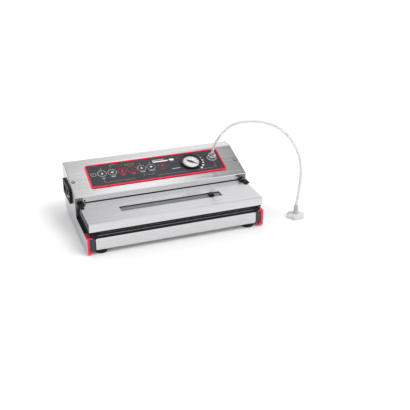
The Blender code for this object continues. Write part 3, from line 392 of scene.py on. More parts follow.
LOOKS = make_materials()
NODE_LOOKS = {
    "steel": ["base_pan", "housing_cover", "rear_panel"],
    "front_steel_painted_shade": ["front_strip", "lid_shell"],
    "side_steel_painted_shade": ["side_panel_left", "side_panel_right"],
    "pin_steel": ["hinge_pin_left", "hinge_pin_right", "cutter_blade"],
    "port_metal": ["vacuum_port"],
    "heater": ["heating_strip"],
    "aluminium": ["seal_bar", "pump_motor"],
    "red": ["side_trim_left", "side_trim_right", "foil_frame"],
    "slate": ["corner_block_left", "corner_block_right"],
    "black": ["base_tray", "lid_liner", "inlet_housing", "vacuum_pump", "solenoid_valve"],
    "gloss_black": ["gauge_case", "gauge_needle", "rocker_switch"],
    "rubber": ["foot_front_left", "foot_front_right", "foot_rear_left", "foot_rear_right"],
    "silicone": ["pressure_strip"],
    "grey": ["cutter_rail"],
    "dial": ["gauge_dial"],
    "display": ["display_window"],
    "core": ["transformer"],
    "board": ["control_board"],
    "foam": ["lower_gasket", "upper_gasket"],
    "foil": ["control_foil", *KEY_NAMES],
    "tube": ["inner_hose"],
    "lens": ["gauge_lens"],
}


def dress_nodes():
    """Looks for the CAD nodes that are shown; the others are replaced by finer pieces."""
    for look, nodes in NODE_LOOKS.items():
        for node in nodes:
            mesh = frame["nodes"][node].data
            mesh.materials.clear()
            mesh.materials.append(LOOKS[look])


# ---------------------------------------------------------------- mesh helpers
def piece(name, mesh, look, body, place=None):
    """A finished piece that rides on a body; place is its matrix in the row frame."""
    sharp_edge = radians(35)
    obj = add_object(name, mesh)
    mesh.materials.append(LOOKS[look])
    mesh.shade_smooth()
    mesh.set_sharp_from_angle(angle=sharp_edge)
    if place:
        obj.matrix_world = place
    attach(obj, body)
    return obj


def finished(name, shape):
    mesh = bpy.data.meshes.new(name)
    bmesh.ops.recalc_face_normals(shape, faces=shape.faces)
    shape.to_mesh(mesh)
    shape.free()
    return mesh


def circle(radius, count, centre=(0, 0)):
    turns = [2 * pi * i / count for i in range(count)]
    return [(centre[0] + radius * cos(t), centre[1] + radius * sin(t)) for t in turns]


def ring_sector(inner, outer, start, end, steps):
    """A stretch of a flat ring, between two angles in radians."""
    turns = [start + (end - start) * i / steps for i in range(steps + 1)]
    out = [(outer * cos(t), outer * sin(t)) for t in turns]
    return out + [(inner * cos(t), inner * sin(t)) for t in reversed(turns)]


def bar(x, y, width, height, radius=0.0):
    """A rectangle by its middle and size, with rounded corners if a radius is given."""
    steps = 3 if radius else 0
    corners = []
    for sx, sy, quarter in ((1, 1, 0), (-1, 1, 1), (-1, -1, 2), (1, -1, 3)):
        cx = x + sx * (width / 2 - radius)
        cy = y + sy * (height / 2 - radius)
        for i in range(steps + 1):
            turn = pi / 2 * (quarter + (i / steps if steps else 0))
            corners.append((cx + radius * cos(turn), cy + radius * sin(turn)))
    return corners


def plate(name, outlines, thickness, rounding=0.0):
    """Flat shapes, with holes where one outline lies in another, from z 0 to the thickness."""
    curve = bpy.data.curves.new(name, "CURVE")
    curve.dimensions = "2D"
    curve.fill_mode = "BOTH"
    curve.extrude = thickness / 2 - rounding
    curve.bevel_depth = rounding
    curve.bevel_resolution = 1
    curve.offset = -rounding
    for outline in outlines:
        spline = curve.splines.new("POLY")
        spline.points.add(len(outline) - 1)
        for point, (x, y) in zip(spline.points, outline):
            point.co = (x, y, 0, 1)
        spline.use_cyclic_u = True
    return curve_mesh(name, curve, lift=thickness / 2)


def curve_mesh(name, curve, lift):
    """The mesh of a curve, raised by the lift. The curve isn't kept."""
    guide = add_object(name, curve)
    graph = bpy.context.evaluated_depsgraph_get()
    mesh = bpy.data.meshes.new_from_object(guide.evaluated_get(graph))
    bpy.data.objects.remove(guide)
    bpy.data.curves.remove(curve)
    shape = bmesh.new()
    shape.from_mesh(mesh)
    bpy.data.meshes.remove(mesh)
    bmesh.ops.remove_doubles(shape, verts=shape.verts, dist=1e-6)
    bmesh.ops.translate(shape, vec=(0, 0, lift), verts=shape.verts)
    return finished(name, shape)


def lofted(name, stations, steps, lobes=0, depth=0.0, closed=False):
    """A round form from (radius, height, lobe weight) stations, from one pole to the other, or
    back to the first station if closed. Each ring swings in by depth times its weight, once for
    each lobe."""
    shape = bmesh.new()
    rings = []
    for radius, height, weight in stations:
        if radius == 0:
            rings.append([shape.verts.new((0, 0, height))])
            continue
        ring = []
        for i in range(steps):
            turn = 2 * pi * i / steps
            reach = radius - weight * depth * (1 - cos(lobes * turn)) / 2
            ring.append(shape.verts.new((reach * cos(turn), reach * sin(turn), height)))
        rings.append(ring)
    following = rings[1:] + rings[:1] if closed else rings[1:]
    for one, two in zip(rings, following):
        for i in range(steps):
            after = (i + 1) % steps
            corners = [ring[j % len(ring)] for ring, j in ((one, i), (one, after), (two, after), (two, i))]
            shape.faces.new(dict.fromkeys(corners))
    return finished(name, shape)


def boxed(name, low, high, rounding, segments):
    """A box between two corners, with its edges rounded if a rounding is given."""
    shape = bmesh.new()
    bmesh.ops.create_cube(shape, size=1)
    bmesh.ops.scale(shape, vec=[h - l for l, h in zip(low, high)], verts=shape.verts)
    bmesh.ops.translate(shape, vec=[(h + l) / 2 for l, h in zip(low, high)], verts=shape.verts)
    if rounding:
        bmesh.ops.bevel(
            shape, geom=shape.edges[:], offset=rounding, segments=segments, affect="EDGES", profile=0.5
        )
    return finished(name, shape)


def smooth_route(route, spacing):
    """Points about this far apart on a smooth (Catmull-Rom) curve through a route."""
    knots = [2 * route[0] - route[1], *route, 2 * route[-1] - route[-2]]
    points = []
    for a, b, c, d in zip(knots, knots[1:], knots[2:], knots[3:]):
        count = max(1, round((c - b).length / spacing))
        for i in range(count):
            t = i / count
            square, cube = t * t, t * t * t
            points.append(
                b + (c - a) * t / 2
                + (2 * a - 5 * b + 4 * c - d) * square / 2
                + (3 * b - a - 3 * c + d) * cube / 2
            )
    return [*points, route[-1]]


def hollow_tube(name, points, outer, inner):
    """A tube with a bore, swept along points with no twist, closed by a ring at each end."""
    sides = 20
    shape = bmesh.new()
    tangent = (points[1] - points[0]).normalized()
    across = tangent.orthogonal().normalized()
    loops = []
    for i, point in enumerate(points):
        ahead = points[min(i + 1, len(points) - 1)]
        behind = points[max(i - 1, 0)]
        heading = (ahead - behind).normalized()
        across = tangent.rotation_difference(heading) @ across
        tangent = heading
        side = tangent.cross(across)
        pair = []
        for radius in (outer, inner):
            ring = []
            for j in range(sides):
                turn = 2 * pi * j / sides
                spot = point + radius * (cos(turn) * across + sin(turn) * side)
                ring.append(shape.verts.new(spot))
            pair.append(ring)
        loops.append(pair)
    joints = []
    for (outer_a, inner_a), (outer_b, inner_b) in zip(loops, loops[1:]):
        joints += [(outer_a, outer_b), (inner_a, inner_b)]
    joints += [loops[0], loops[-1]]
    for one, two in joints:
        for j in range(sides):
            after = (j + 1) % sides
            shape.faces.new((one[j], one[after], two[after], two[j]))
    return finished(name, shape)


def on_panel(spot):
    """A matrix at a spot, turned like the sloping panel: x along the row, z out of the panel."""
    return Matrix.Translation(spot) @ PANEL_TURN


def panel_place(x, up=0.0, lift=0.0):
    """The same at x along the row, up the slope from the middle of the keys, and lift above them."""
    middle = Vector((x, KEY_MIDDLE.y, KEY_MIDDLE.z))
    return on_panel(middle + PANEL_UP * up + PANEL_NORMAL * (KEY_HALF_THICK + lift))


def height_up_panel(spot):
    """How far a spot lies up the slope from the middle of the keys."""
    return (spot - KEY_MIDDLE).dot(PANEL_UP)


def facing(direction, spot):
    """A matrix whose own z points along a direction."""
    return Matrix.Translation(spot) @ Vector(direction).to_track_quat("Z", "Y").to_matrix().to_4x4()


def sideways(spot):
    """A matrix for an outline drawn in Y and Z and given its thickness along X."""
    turn = Matrix(((0, 0, 1), (1, 0, 0), (0, 1, 0))).to_4x4()
    return Matrix.Translation(spot) @ turn


def box_piece(name, low, high, rounding, look, slot, body="machine", segments=2):
    """A finished piece that is a box between two corners."""
    return piece(name, boxed(name, low, high, rounding, segments), look, body)


def plate_piece(name, outlines, thickness, look, place, body="machine", rounding=0.0):
    """A finished piece that is a flat shape; place is its matrix in the row frame."""
    return piece(name, plate(name, outlines, thickness, rounding), look, body, place)


# ---------------------------------------------------------------- hose, adapter and port
def make_hose():
    route = [Vector(spot) + Vector((MACHINE_X, 0, 0)) for spot in HOSE_ROUTE]
    points = smooth_route(route, spacing=0.004)
    mesh = hollow_tube("suction_hose", points, HOSE_DIAMETER / 2, HOSE_BORE_R)
    hose = piece("suction_hose", mesh, "tube", "machine")
    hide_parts("hose")
    make_adapter()


def make_adapter():
    """The lobed white knob with its mouth below, and the grey collar that holds the hose."""
    low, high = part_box("adapter_disc")
    middle = (low + high) / 2
    foot = Vector((middle.x, middle.y, low.z))
    radius, top = (high.x - low.x) / 2, high.z - low.z
    mouth_r, mouth_top, neck = 0.0105, 0.0060, 0.0114
    stations = [
        (0, mouth_top, 0),
        (mouth_r - 0.001, mouth_top, 0),
        (mouth_r, mouth_top - 0.0008, 0),
        (mouth_r, 0.0004, 0),
        (mouth_r + 0.0006, 0, 0),
        (radius - 0.0014, 0, 0.9),
        (radius - 0.0003, 0.0005, 1),
        (radius, 0.0016, 1),
        (radius, 0.0050, 1),
        (radius - 0.0005, 0.0064, 1),
        (radius - 0.0020, 0.0072, 1),
        (radius - 0.0060, 0.0076, 0.4),
        (neck + 0.0014, 0.0078, 0),
        (neck + 0.0006, 0.0084, 0),
        (neck, top - 0.0004, 0),
        (neck - 0.0008, top, 0),
        (0, top, 0),
    ]
    mesh = lofted("adapter_knob", stations, steps=120, lobes=6, depth=0.0040)
    knob = piece("adapter_knob", mesh, "white", "machine", Matrix.Translation(foot))
    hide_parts("adapter_disc")

    low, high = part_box("hose_socket")
    radius, tall = 0.0048, high.z - low.z
    ribs, first_rib, pitch, rib_depth = 3, 0.0065, 0.0032, 0.0005
    profile = [(0, 0), (radius + 0.0020, 0), (radius + 0.0022, 0.0003)]
    profile += [(radius + 0.0020, 0.0026), (radius, 0.0040)]
    for i in range(ribs):
        base = first_rib + i * pitch
        profile += [(radius, base), (radius + rib_depth, base + 0.0006)]
        profile += [(radius + rib_depth, base + 0.0014), (radius, base + 0.0020)]
    profile += [(radius, tall - 0.0010), (radius - 0.0008, tall - 0.0002)]
    profile += [(HOSE_DIAMETER / 2 - 0.0002, tall - 0.0002), (0, tall - 0.0004)]
    mesh = lofted("hose_collar", [(r, z, 0) for r, z in profile], steps=40)
    place = Matrix.Translation((foot.x, foot.y, low.z))
    collar = piece("hose_collar", mesh, "socket", "machine", place)
    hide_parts("hose_socket")
    return [knob, collar]


def make_port_nut():
    """The lobed silver nut that grips the hose, with a round collar above."""
    joint = JOINTS["port_nut_turn"]
    low, shoulder, top = 0.0031, 0.0090, 0.0142
    radius, collar, bore = 0.0102, 0.0070, HOSE_DIAMETER / 2 + 0.0003
    stem_room, stem_top = 0.0053, 0.0103
    stations = [
        (bore, top - 0.0003, 0),
        (bore + 0.0004, top, 0),
        (collar - 0.0010, top, 0),
        (collar - 0.0003, top - 0.0005, 0),
        (collar, top - 0.0014, 0),
        (collar, shoulder + 0.0012, 0),
        (collar + 0.0005, shoulder + 0.0004, 0.1),
        (radius - 0.0014, shoulder, 1),
        (radius - 0.0003, shoulder - 0.0005, 1),
        (radius, shoulder - 0.0014, 1),
        (radius, low + 0.0008, 1),
        (radius - 0.0006, low, 1),
        (stem_room + 0.0006, low, 0),
        (stem_room, low + 0.0005, 0),
        (stem_room, stem_top, 0),
        (bore, stem_top + 0.0006, 0),
    ]
    mesh = lofted("silver_nut", stations, steps=96, lobes=6, depth=0.0016, closed=True)
    place = facing(joint["axis"], joint["pos_m"])
    nut = piece("silver_nut", mesh, "port_metal", "nut", place)
    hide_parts("port_nut")


def make_port_washer():
    """The thin silver disc that the nut seats on."""
    joint = JOINTS["port_nut_turn"]
    outer, inner, top, low = 0.0116, 0.0056, 0.0028, 0.0016
    profile = [(inner, top), (outer - 0.0006, top), (outer, top - 0.0005), (outer, low), (inner, low)]
    mesh = lofted("port_washer", [(r, z, 0) for r, z in profile], steps=48, closed=True)
    place = facing(joint["axis"], joint["pos_m"])
    piece("port_washer", mesh, "port_metal", "machine", place)


# ---------------------------------------------------------------- lid, hinges and tray
def hinge_arm_outline(length, foot):
    """A small barrel round the pin with a flat arm that lies forward on the lid."""
    barrel, chamfer, steps = 0.0036, 0.0006, 24
    start, end = pi / 2, -pi - asin(foot / barrel)
    turns = [start + (end - start) * i / steps for i in range(steps + 1)]
    round_part = [(barrel * cos(t), barrel * sin(t)) for t in turns]
    tip = [(-length, foot), (-length, barrel - 2 * chamfer), (-length + 2 * chamfer, barrel - chamfer)]
    return round_part + tip


def make_hinges():
    """Slim arms on the lid and folded brackets on the housing, inside their plain CAD shapes."""
    axis = Vector(JOINTS["lid_hinge"]["pos_m"])
    pin_hole = circle(0.0023, 24)
    arm_foot, sheet, ear_thick, rounding = 0.0008, 0.0011, 0.0027, 0.0004
    for side in ("left", "right"):
        low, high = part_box(f"hinge_knuckle_{side}")
        arm = plate_piece(
            f"hinge_arm_{side}",
            [hinge_arm_outline(axis.y - low.y, arm_foot), pin_hole],
            high.x - low.x,
            "black",
            sideways((low.x, axis.y, axis.z)),
            "lid",
            rounding,
        )
        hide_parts(f"hinge_knuckle_{side}")

        low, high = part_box(f"hinge_bracket_{side}")
        plate_low = (low.x, high.y - sheet, axis.z + 0.0006)
        bracket = box_piece(f"hinge_plate_{side}", plate_low, high, 0.0003, "bracket", "slate_plastic")
        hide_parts(f"hinge_bracket_{side}")
        rear = high.y - 0.0002 - axis.y
        ear_x = high.x - ear_thick if side == "left" else low.x
        plate_piece(
            f"hinge_ear_{side}",
            [[(-0.0042, -0.0040), (rear, -0.0064), (rear, 0.0058), (-0.0042, 0.0034)], pin_hole],
            ear_thick,
            "black",
            sideways((ear_x, axis.y, axis.z)),
            rounding=rounding,
        )


def make_lid_ends():
    """Dark end caps on the lid's two flanges, leaving a bright edge above and below."""
    low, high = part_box("lid_shell")
    thick, front_edge, lower_edge, upper_edge, hinge_room = 0.0005, 0.0016, 0.0011, 0.0014, 0.0091
    rear = JOINTS["lid_hinge"]["pos_m"][1] - hinge_room
    for side, x in (("left", low.x - thick), ("right", high.x)):
        cap_low = (x, low.y + front_edge, low.z + lower_edge)
        cap_high = (x + thick, rear, high.z - upper_edge)
        box_piece(f"lid_end_{side}", cap_low, cap_high, 0.0002, "navy", "slate_plastic", "lid")


def make_cutter_knob():
    """The ribbed grip of the bag cutter."""
    low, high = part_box("cutter_knob")
    finish = ("gloss_black", "black_plastic", "cutter")
    base_low = (low.x + 0.0006, low.y + 0.0010, low.z)
    base_high = (high.x - 0.0006, high.y - 0.0010, low.z + 0.0030)
    base = box_piece("knob_base", base_low, base_high, 0.0008, *finish)
    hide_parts("cutter_knob")
    grip_low = (low.x + 0.0014, low.y + 0.0024, low.z + 0.0028)
    grip_high = (high.x - 0.0014, high.y - 0.0024, high.z - 0.0014)
    box_piece("knob_grip", grip_low, grip_high, 0.0012, *finish, segments=3)
    ribs, pitch, half = 4, 0.0019, 0.0004
    for i in range(ribs):
        x = (low.x + high.x) / 2 + (i - (ribs - 1) / 2) * pitch
        rib_low = (x - half, low.y + 0.0036, high.z - 0.0018)
        rib_high = (x + half, high.y - 0.0036, high.z - 0.0009)
        box_piece(f"knob_rib_{i}", rib_low, rib_high, 0.0002, *finish)


def make_lid_gap():
    """A dark strip in the foot rubber's look on the riser behind the lid: painted shade of the gap there."""
    side_gap, thick, bottom, top = 0.001, 0.0009, 0.0730, 0.0753
    left_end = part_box("hinge_bracket_left")[1]
    right_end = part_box("hinge_bracket_right")[0]
    strip_low = (left_end.x + side_gap, left_end.y - thick, bottom)
    strip_high = (right_end.x - side_gap, left_end.y, top)
    box_piece("gap_shade_strip", strip_low, strip_high, 0.0002, "rubber", "rubber")


def make_tray_details():
    """A bright metal strip on the tray's front as a painted highlight, tape over the heating strip, and the
    suction nozzle.
    """
    front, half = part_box("base_tray")[0].y, 0.176
    # A thin aluminium strip along the black tray's front edge: a painted highlight.
    edge_low = (MACHINE_X - half, front - 0.0004, 0.0433)
    edge_high = (MACHINE_X + half, front, 0.0438)
    box_piece("tray_edge_highlight", edge_low, edge_high, 0.0001, "aluminium", "steel")

    strip_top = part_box("heating_strip")[1].z
    bar_low, bar_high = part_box("seal_bar")
    tape_low = (bar_low.x + 0.002, bar_low.y + 0.0008, strip_top + 0.00002)
    tape_high = (bar_high.x - 0.002, bar_high.y - 0.0008, strip_top + 0.00012)
    box_piece("sealing_tape", tape_low, tape_high, 0.0, "tape", "silicone")

    bore, neck, flange, bottom = 0.0022, 0.0048, 0.0074, 0.0001
    profile = [(bore, 0.0046), (neck - 0.0006, 0.0046), (neck, 0.0040), (neck + 0.0004, 0.0010)]
    profile += [(flange - 0.0004, 0.0008), (flange, 0.0004), (flange, bottom), (bore, bottom)]
    mesh = lofted("suction_nozzle", [(r, z, 0) for r, z in profile], steps=32, closed=True)
    nozzle_y, trough_floor = -0.0630, 0.0415
    place = Matrix.Translation((MACHINE_X + 0.1500, nozzle_y, trough_floor))
    piece("suction_nozzle", mesh, "black", "machine", place)


# ---------------------------------------------------------------- mains inlet and rear label
def make_inlet_details():
    """Three pins in the mains socket, and the two screws of its flange."""
    low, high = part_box("inlet_housing")
    middle = (low + high) / 2
    socket_y, screw_edge = middle.y + 0.0160, 0.0032
    pin_root, pin_tip, half_wide, half_tall = 0.0198, 0.0050, 0.0010, 0.0020
    for name, across, up in (("left", -0.0070, -0.0012), ("earth", 0.0, 0.0024), ("right", 0.0070, -0.0012)):
        y, z = socket_y + across, middle.z + up
        pin_low = (low.x + pin_tip, y - half_wide, z - half_tall)
        pin_high = (low.x + pin_root, y + half_wide, z + half_tall)
        box_piece(f"inlet_pin_{name}", pin_low, pin_high, 0.0004, "pin_steel", "pin_steel")
    for name, y in (("front", low.y + screw_edge), ("rear", high.y - screw_edge)):
        put_screw(f"inlet_screw_{name}", (low.x + 0.0001, y, middle.z), (-1, 0, 0), 0.0020, 0.0009)


def make_rocker_marks():
    """A stroke and a ring, the usual marks for on and off, on the rocker's two faces."""
    pivot = Vector(JOINTS["rocker_tip"]["pos_m"])
    tilt = radians(8)
    inward = Vector((cos(tilt), 0, -sin(tilt)))
    upward = Vector((sin(tilt), 0, cos(tilt)))
    face_tall, face_slant, face_depth, reach = 0.00955, 0.0018, 0.00138, 0.0052
    stroke = [bar(0, 0, 0.0009, 0.0038)]
    ring = [circle(0.0021, 32), circle(0.0013, 32)]
    for name, end, outlines in (("on", 1, stroke), ("off", -1, ring)):
        up_face = (upward * face_tall - inward * end * face_slant).normalized()
        outward = up_face.cross(Vector((0, 1, 0)))
        spot = pivot - inward * face_depth + upward * end * reach + outward * INK_LIFT
        turn = Matrix((up_face.cross(outward), up_face, outward)).transposed().to_4x4()
        place = Matrix.Translation(spot) @ turn
        plate_piece(f"rocker_{name}", outlines, INK, "white_ink", place, "rocker")


def make_rear_label():
    """A plain rating plate, with ruled lines where a maker prints the ratings."""
    low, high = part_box("rear_panel")
    clear, thick, first_row, pitch = 0.00005, 0.0003, 0.0115, 0.0048
    place = facing((0, 1, 0), (MACHINE_X, high.y + clear, (low.z + high.z) / 2))
    plate_piece("rear_label", [bar(0, 0, 0.060, 0.036, 0.003)], thick, "label", place)
    rows = [bar(0, first_row - pitch * i, 0.050 - 0.006 * (i % 3), 0.0012) for i in range(6)]
    on_label = place @ Matrix.Translation((0, 0, thick))
    plate_piece("rear_label_rows", rows, INK, "grey_ink", on_label)


# ---------------------------------------------------------------- control panel
def print_on_panel(name, outlines, look, x, up=0.0, body="machine"):
    """One printed mark: a film of ink on the foil or on a key."""
    plate_piece(name, outlines, INK, look, panel_place(x, up, INK_LIFT), body)


def key_ring(radius, dashes=0):
    """The printed ring round a key, whole or as dashes."""
    gap, line, filled = 0.0003, 0.0006, 0.62
    inner, outer = radius + gap, radius + gap + line
    if not dashes:
        return [circle(outer, 64), circle(inner, 64)]
    pitch = 2 * pi / dashes
    return [ring_sector(inner, outer, i * pitch, (i + filled) * pitch, 4) for i in range(dashes)]


def power_ring():
    """The open ring of the usual power mark; its stroke is the key's symbol."""
    gap = radians(26)
    return [ring_sector(0.0056, 0.0063, pi / 2 + gap, pi / 2 + 2 * pi - gap, 32)]


def triangle(width):
    """A triangle that points up the panel."""
    half, tall = width / 2, width * 0.86
    return [(-half, -tall / 2), (half, -tall / 2), (0, tall / 2)]


# Each key's ring colour, symbol colour and symbol.
KEY_SYMBOLS = {
    "key_power": ("pale_ink", "pale_ink", [bar(0, 0.0018, 0.0009, 0.0062)]),
    "key_seal_time_up": ("white_ink", "white_ink", [triangle(0.0056)]),
    "key_seal_time_down": ("white_ink", "white_ink", [bar(0, 0, 0.0062, 0.0034, 0.0012)]),
    "key_seal": ("red_ink", "red_ink", [circle(0.0026, 6), bar(0, -0.0052, 0.0074, 0.0009)]),
    "key_auto_vacuum": (
        "red_ink",
        "dim_red_ink",
        [circle(0.0013, 16, (0, 0.0022)), bar(0, -0.0030, 0.0070, 0.0010)],
    ),
    "key_vacuum_level": ("pale_ink", "white_ink", [circle(0.0021, 24), bar(0, 0.0041, 0.0008, 0.0018)]),
    "key_manual_vacuum": ("pale_ink", "white_ink", [bar(0, 0.0003, 0.0058, 0.0038, 0.0017)]),
    "key_stop": ("red_ink", "red_ink", [bar(0, 0, 0.0046, 0.0046, 0.0012)]),
}
# Each caption's colour, its distance below the key's middle, and the widths of its bars.
KEY_CAPTIONS = {
    "key_seal_time_up": ("grey_ink", 0.0155, (0.0090, 0.0064)),
    "key_seal_time_down": ("white_ink", 0.0145, (0.0100,)),
    "key_seal": ("red_ink", 0.0125, (0.0090, 0.0060)),
    "key_auto_vacuum": ("red_ink", 0.0130, (0.0100, 0.0070)),
    "key_vacuum_level": ("pale_ink", 0.0125, (0.0120,)),
    "key_manual_vacuum": ("pale_ink", 0.0125, (0.0140,)),
    "key_stop": ("dim_red_ink", 0.0120, (0.0170,)),
}
TICKED_KEYS = ("key_seal_time_up", "key_vacuum_level", "key_manual_vacuum")
STOP_DASHES = 14


def print_keys():
    """Each key's ring and symbol, then the captions below and the ticks above some of them."""
    for key, (ring_look, symbol_look, symbol) in KEY_SYMBOLS.items():
        low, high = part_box(key)
        x, radius = (low.x + high.x) / 2, (high.x - low.x) / 2
        name = key.removeprefix("key_")
        if key == "key_power":
            print_on_panel(f"print_{name}_ring", power_ring(), ring_look, x, body=key)
        else:
            ring = key_ring(radius, STOP_DASHES if key == "key_stop" else 0)
            print_on_panel(f"print_{name}_ring", ring, ring_look, x)
        print_on_panel(f"print_{name}_symbol", symbol, symbol_look, x, body=key)
    pitch, line, corner = 0.0022, 0.0013, 0.0003
    for key, (look, below, widths) in KEY_CAPTIONS.items():
        bars = [bar(0, -i * pitch, width, line, corner) for i, width in enumerate(widths)]
        print_on_panel(f"caption_{key.removeprefix('key_')}", bars, look, middle_of(key).x, -below)
    tick, above = [bar(0, 0, 0.0011, 0.0026)], 0.0150
    for key in TICKED_KEYS:
        print_on_panel(f"tick_{key.removeprefix('key_')}", tick, "pale_ink", middle_of(key).x, above)


def seven_segments(x):
    """An 8 of seven separate segments, as an unlit digit shows."""
    wide, tall, line = 0.0034, 0.0060, 0.00065
    flats = [bar(x, y, wide - 2 * line, line) for y in (-tall / 2, 0, tall / 2)]
    uprights = [
        bar(x + side * wide / 2, end * tall / 4, line, tall / 2 - line)
        for side in (-1, 1)
        for end in (-1, 1)
    ]
    return flats + uprights


def print_display():
    """Four unlit digits, a short mark before them, and a line over the window."""
    middle = middle_of("display_window")
    up = height_up_panel(middle)
    count, pitch = 4, 0.0058
    digits = []
    for i in range(count):
        digits += seven_segments((i - (count - 1) / 2) * pitch)
    mark = [bar(0, 0, 0.0030, 0.0014, 0.0004)]
    line = [bar(0, 0, 0.0560, 0.00045)]
    print_on_panel("display_digits", digits, "digit", middle.x, up)
    print_on_panel("display_unit", mark, "red_ink", middle.x - 0.0178, up + 0.0004)
    print_on_panel("display_line", line, "dim_red_ink", middle.x - 0.0050, up + 0.0074)


def leader(*points):
    """A thin line of straight runs, as one outline for each run."""
    line = 0.0006
    runs = []
    for (ax, ay), (bx, by) in zip(points, points[1:]):
        if ax == bx:
            runs.append(bar(ax, (ay + by) / 2, line, abs(by - ay) + line))
        else:
            runs.append(bar((ax + bx) / 2, ay, abs(bx - ax) - line, line))
    return runs


def print_leaders():
    """Lines that join some of the keys to each other, to the display and to the port."""
    x = {key: middle_of(key).x for key in KEY_NAMES}
    up_x, down_x = x["key_seal_time_up"], x["key_seal_time_down"]
    level_x, manual_x = x["key_vacuum_level"], x["key_manual_vacuum"]
    port_x = JOINTS["port_nut_turn"]["pos_m"][0]
    base, step, under_key = -0.0310, -0.0250, -0.0190
    rise_x = manual_x + 0.0005
    left = leader((up_x, -0.0205), (up_x, base), (x["key_auto_vacuum"], base))
    display = leader((down_x, 0.0180), (down_x, 0.0250), (down_x + 0.0120, 0.0250))
    middle = leader((level_x, under_key), (level_x, step), (manual_x, step))
    middle += leader((rise_x, step), (rise_x, under_key))
    right = leader((manual_x + 0.006, base), (port_x, base), (port_x, -0.0130))
    for name, runs in (("left", left), ("display", display), ("middle", middle), ("right", right)):
        print_on_panel(f"leader_{name}", runs, "line_ink", 0)


def print_titles():
    """Plain bars where a maker prints names and small notes."""
    for name, look, x, up, size in (
        ("title_bar", "white_ink", MACHINE_X + 0.0160, 0.0145, (0.0360, 0.0036, 0.0008)),
        ("title_badge", "white_ink", MACHINE_X + 0.0435, 0.0155, (0.0110, 0.0058, 0.0016)),
        ("title_line", "pale_ink", MACHINE_X + 0.0120, 0.0205, (0.0290, 0.0018, 0.0004)),
        ("badge_line", "grey_ink", MACHINE_X + 0.0445, 0.0100, (0.0070, 0.0014, 0.0004)),
        ("gauge_caption", "white_ink", GAUGE_SPOT.x - 0.0400, -0.0165, (0.0190, 0.0011, 0.0003)),
    ):
        print_on_panel(name, [bar(0, 0, *size)], look, x, up)


def print_gauge_dots():
    """Dots round the gauge's right side, each larger than the one above it."""
    reach, smallest, growth = 0.0292, 0.0016, 0.00017
    dots = []
    for i, angle in enumerate((57, 42, 24, 6, -10, -30, -49)):
        centre = (reach * cos(radians(angle)), reach * sin(radians(angle)))
        dots.append(circle(smallest + growth * i, 20, centre))
    print_on_panel("gauge_dots", dots, "white_ink", GAUGE_SPOT.x, height_up_panel(GAUGE_SPOT))


# ---------------------------------------------------------------- gauge
DIAL_START, DIAL_SWEEP, DIAL_STEPS = radians(-39), radians(270), 10


def dial_turn(step):
    """The angle of a number of steps round the dial."""
    return DIAL_START + DIAL_SWEEP * step / DIAL_STEPS


def dial_ticks():
    """Five ticks to a step, the first longer and thicker."""
    parts, outer = 5, 0.0186
    ticks = []
    for i in range(DIAL_STEPS * parts + 1):
        turn = dial_turn(i / parts)
        inner, line = (0.0164, 0.0005) if i % parts else (0.0145, 0.0010)
        outward = Vector((cos(turn), sin(turn)))
        across = Vector((-sin(turn), cos(turn))) * line / 2
        corners = ((inner, -1), (outer, -1), (outer, 1), (inner, 1))
        ticks.append([tuple(outward * reach + across * side) for reach, side in corners])
    return ticks


def number_mesh(name, text, height):
    curve = bpy.data.curves.new(name, "FONT")
    curve.body = text
    curve.size = height
    curve.align_x = "CENTER"
    curve.align_y = "CENTER"
    curve.extrude = INK / 2
    return curve_mesh(name, curve, lift=INK / 2)


def make_dial():
    """Ticks and numbers on the dial, and a ring round it inside the case."""
    dial_half_thick, number_reach, number_tall = 0.0002, 0.0120, 0.0034
    place = on_panel(middle_of("gauge_dial") + PANEL_NORMAL * (dial_half_thick + INK_LIFT))
    plate_piece("gauge_ticks", dial_ticks(), INK, "black_ink", place)
    for i in range(0, DIAL_STEPS + 1, 2):
        turn = dial_turn(i)
        spot = Matrix.Translation((number_reach * cos(turn), number_reach * sin(turn), 0))
        text = str(i / DIAL_STEPS) if i % DIAL_STEPS else str(i // DIAL_STEPS)
        mesh = number_mesh(f"gauge_number_{i}", text, number_tall)
        piece(f"gauge_number_{i}", mesh, "black_ink", "machine", place @ spot)
    bezel = [circle(0.0207, 64), circle(0.0190, 64)]
    plate_piece("gauge_bezel", bezel, 0.0005, "gloss_black", place)


def make_pointer():
    """A blade and a domed cap over the plain CAD pointer."""
    blade_lift, blade_thick = 0.00028, 0.0002
    upper = [(0.0160, 0.0005), (0.0070, 0.0017), (0.0020, 0.0032), (-0.0030, 0.0024), (-0.0098, 0.0028)]
    outline = upper + [(x, -y) for x, y in reversed(upper)]
    place = on_panel(GAUGE_SPOT + PANEL_NORMAL * blade_lift) @ Matrix.Rotation(DIAL_START, 4, "Z")
    plate_piece("needle_blade", [outline], blade_thick, "gloss_black", place, "needle")
    profile = [(0, 0.00055), (0.0022, 0.000495), (0.0033, 0.000275), (0.0036, 0), (0, 0)]
    cap = lofted("needle_cap", [(r, z, 0) for r, z in profile], steps=32)
    place = on_panel(GAUGE_SPOT + PANEL_NORMAL * (blade_lift + blade_thick))
    piece("needle_cap", cap, "gloss_black", "needle", place)


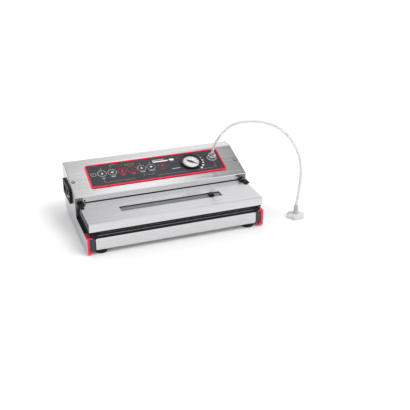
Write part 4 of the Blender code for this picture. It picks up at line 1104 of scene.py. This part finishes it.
# ---------------------------------------------------------------- screws
def screw_mesh(name, radius, height):
    """A button-head screw with a cross recess, its flat side on z 0."""
    dome = [(0, height, 0)]
    for i in range(1, 6):
        turn = pi / 2 * i / 5.5
        dome.append((radius * sin(turn) ** 0.9, height * (0.25 + 0.75 * cos(turn)), 0))
    stations = [*dome, (radius, height * 0.22, 0), (radius, 0, 0), (0, 0, 0)]
    head = add_object(name, lofted(name, stations, steps=28))
    long_side, short_side = radius * 1.10, radius * 0.26
    tools = []
    for i, size in enumerate(((long_side, short_side), (short_side, long_side))):
        tool = add_object(f"recess_{i}", plate("recess", [bar(0, 0, *size)], height * 2))
        tool.location = (0, 0, height * 0.45)
        tool.rotation_euler = (0, 0, radians(20))
        cut = head.modifiers.new("recess", "BOOLEAN")
        cut.operation = "DIFFERENCE"
        cut.object = tool
        tools.append(tool)
    graph = bpy.context.evaluated_depsgraph_get()
    mesh = bpy.data.meshes.new_from_object(head.evaluated_get(graph))
    for obj in (head, *tools):
        bpy.data.objects.remove(obj)
    return mesh


def put_screw(name, spot, direction, radius, height, look="pin_steel"):
    place = facing(direction, spot)
    piece(name, screw_mesh(name, radius, height), look, "machine", place)


def make_screws():
    """Two screws on the slope, each in a black ring of painted shade, two on the riser, the left one black
    as painted shade, and six on the rear panel.
    """
    riser_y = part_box("hinge_bracket_left")[1].y
    # The left riser screw is given gloss black as painted shade; the right one is bare steel.
    for side, sign, riser_lit_and_shaded_look in (("left", -1, "gloss_black"), ("right", 1, "pin_steel")):
        spot = panel_place(MACHINE_X + sign * 0.1925, -0.0140, -0.00148).translation
        put_screw(f"slope_screw_{side}", spot, PANEL_NORMAL, 0.0026, 0.0014)
        # The black ring round each slope screw is painted shade, where the screw's hollow is dark.
        shade_ring = [circle(0.0042, 32), circle(0.0027, 32)]
        plate_piece(f"screw_shade_ring_{side}", shade_ring, 0.0002, "black", facing(PANEL_NORMAL, spot))
        spot = (MACHINE_X + sign * 0.1790, riser_y + 0.00025, 0.0790)
        put_screw(f"step_screw_{side}", spot, (0, -1, 0), 0.0022, 0.0011, riser_lit_and_shaded_look)
    rear_low, rear_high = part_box("rear_panel")
    sunk, edge = 0.0017, 0.009
    for i, x in enumerate((-0.190, 0.0, 0.190)):
        for level, z in (("low", rear_low.z + edge), ("high", rear_high.z - edge)):
            spot = (MACHINE_X + x, rear_high.y - sunk, z)
            put_screw(f"rear_screw_{level}_{i}", spot, (0, 1, 0), 0.0030, 0.0016)


# ---------------------------------------------------------------- build
make_camera()
make_floor()
make_light()
dress_nodes()
make_hose()
make_port_nut()
make_hinges()
make_lid_ends()
make_cutter_knob()
make_lid_gap()
make_tray_details()
make_port_washer()
make_inlet_details()
make_rocker_marks()
make_rear_label()
print_keys()
print_display()
print_leaders()
print_titles()
print_gauge_dots()
make_dial()
make_pointer()
make_screws()
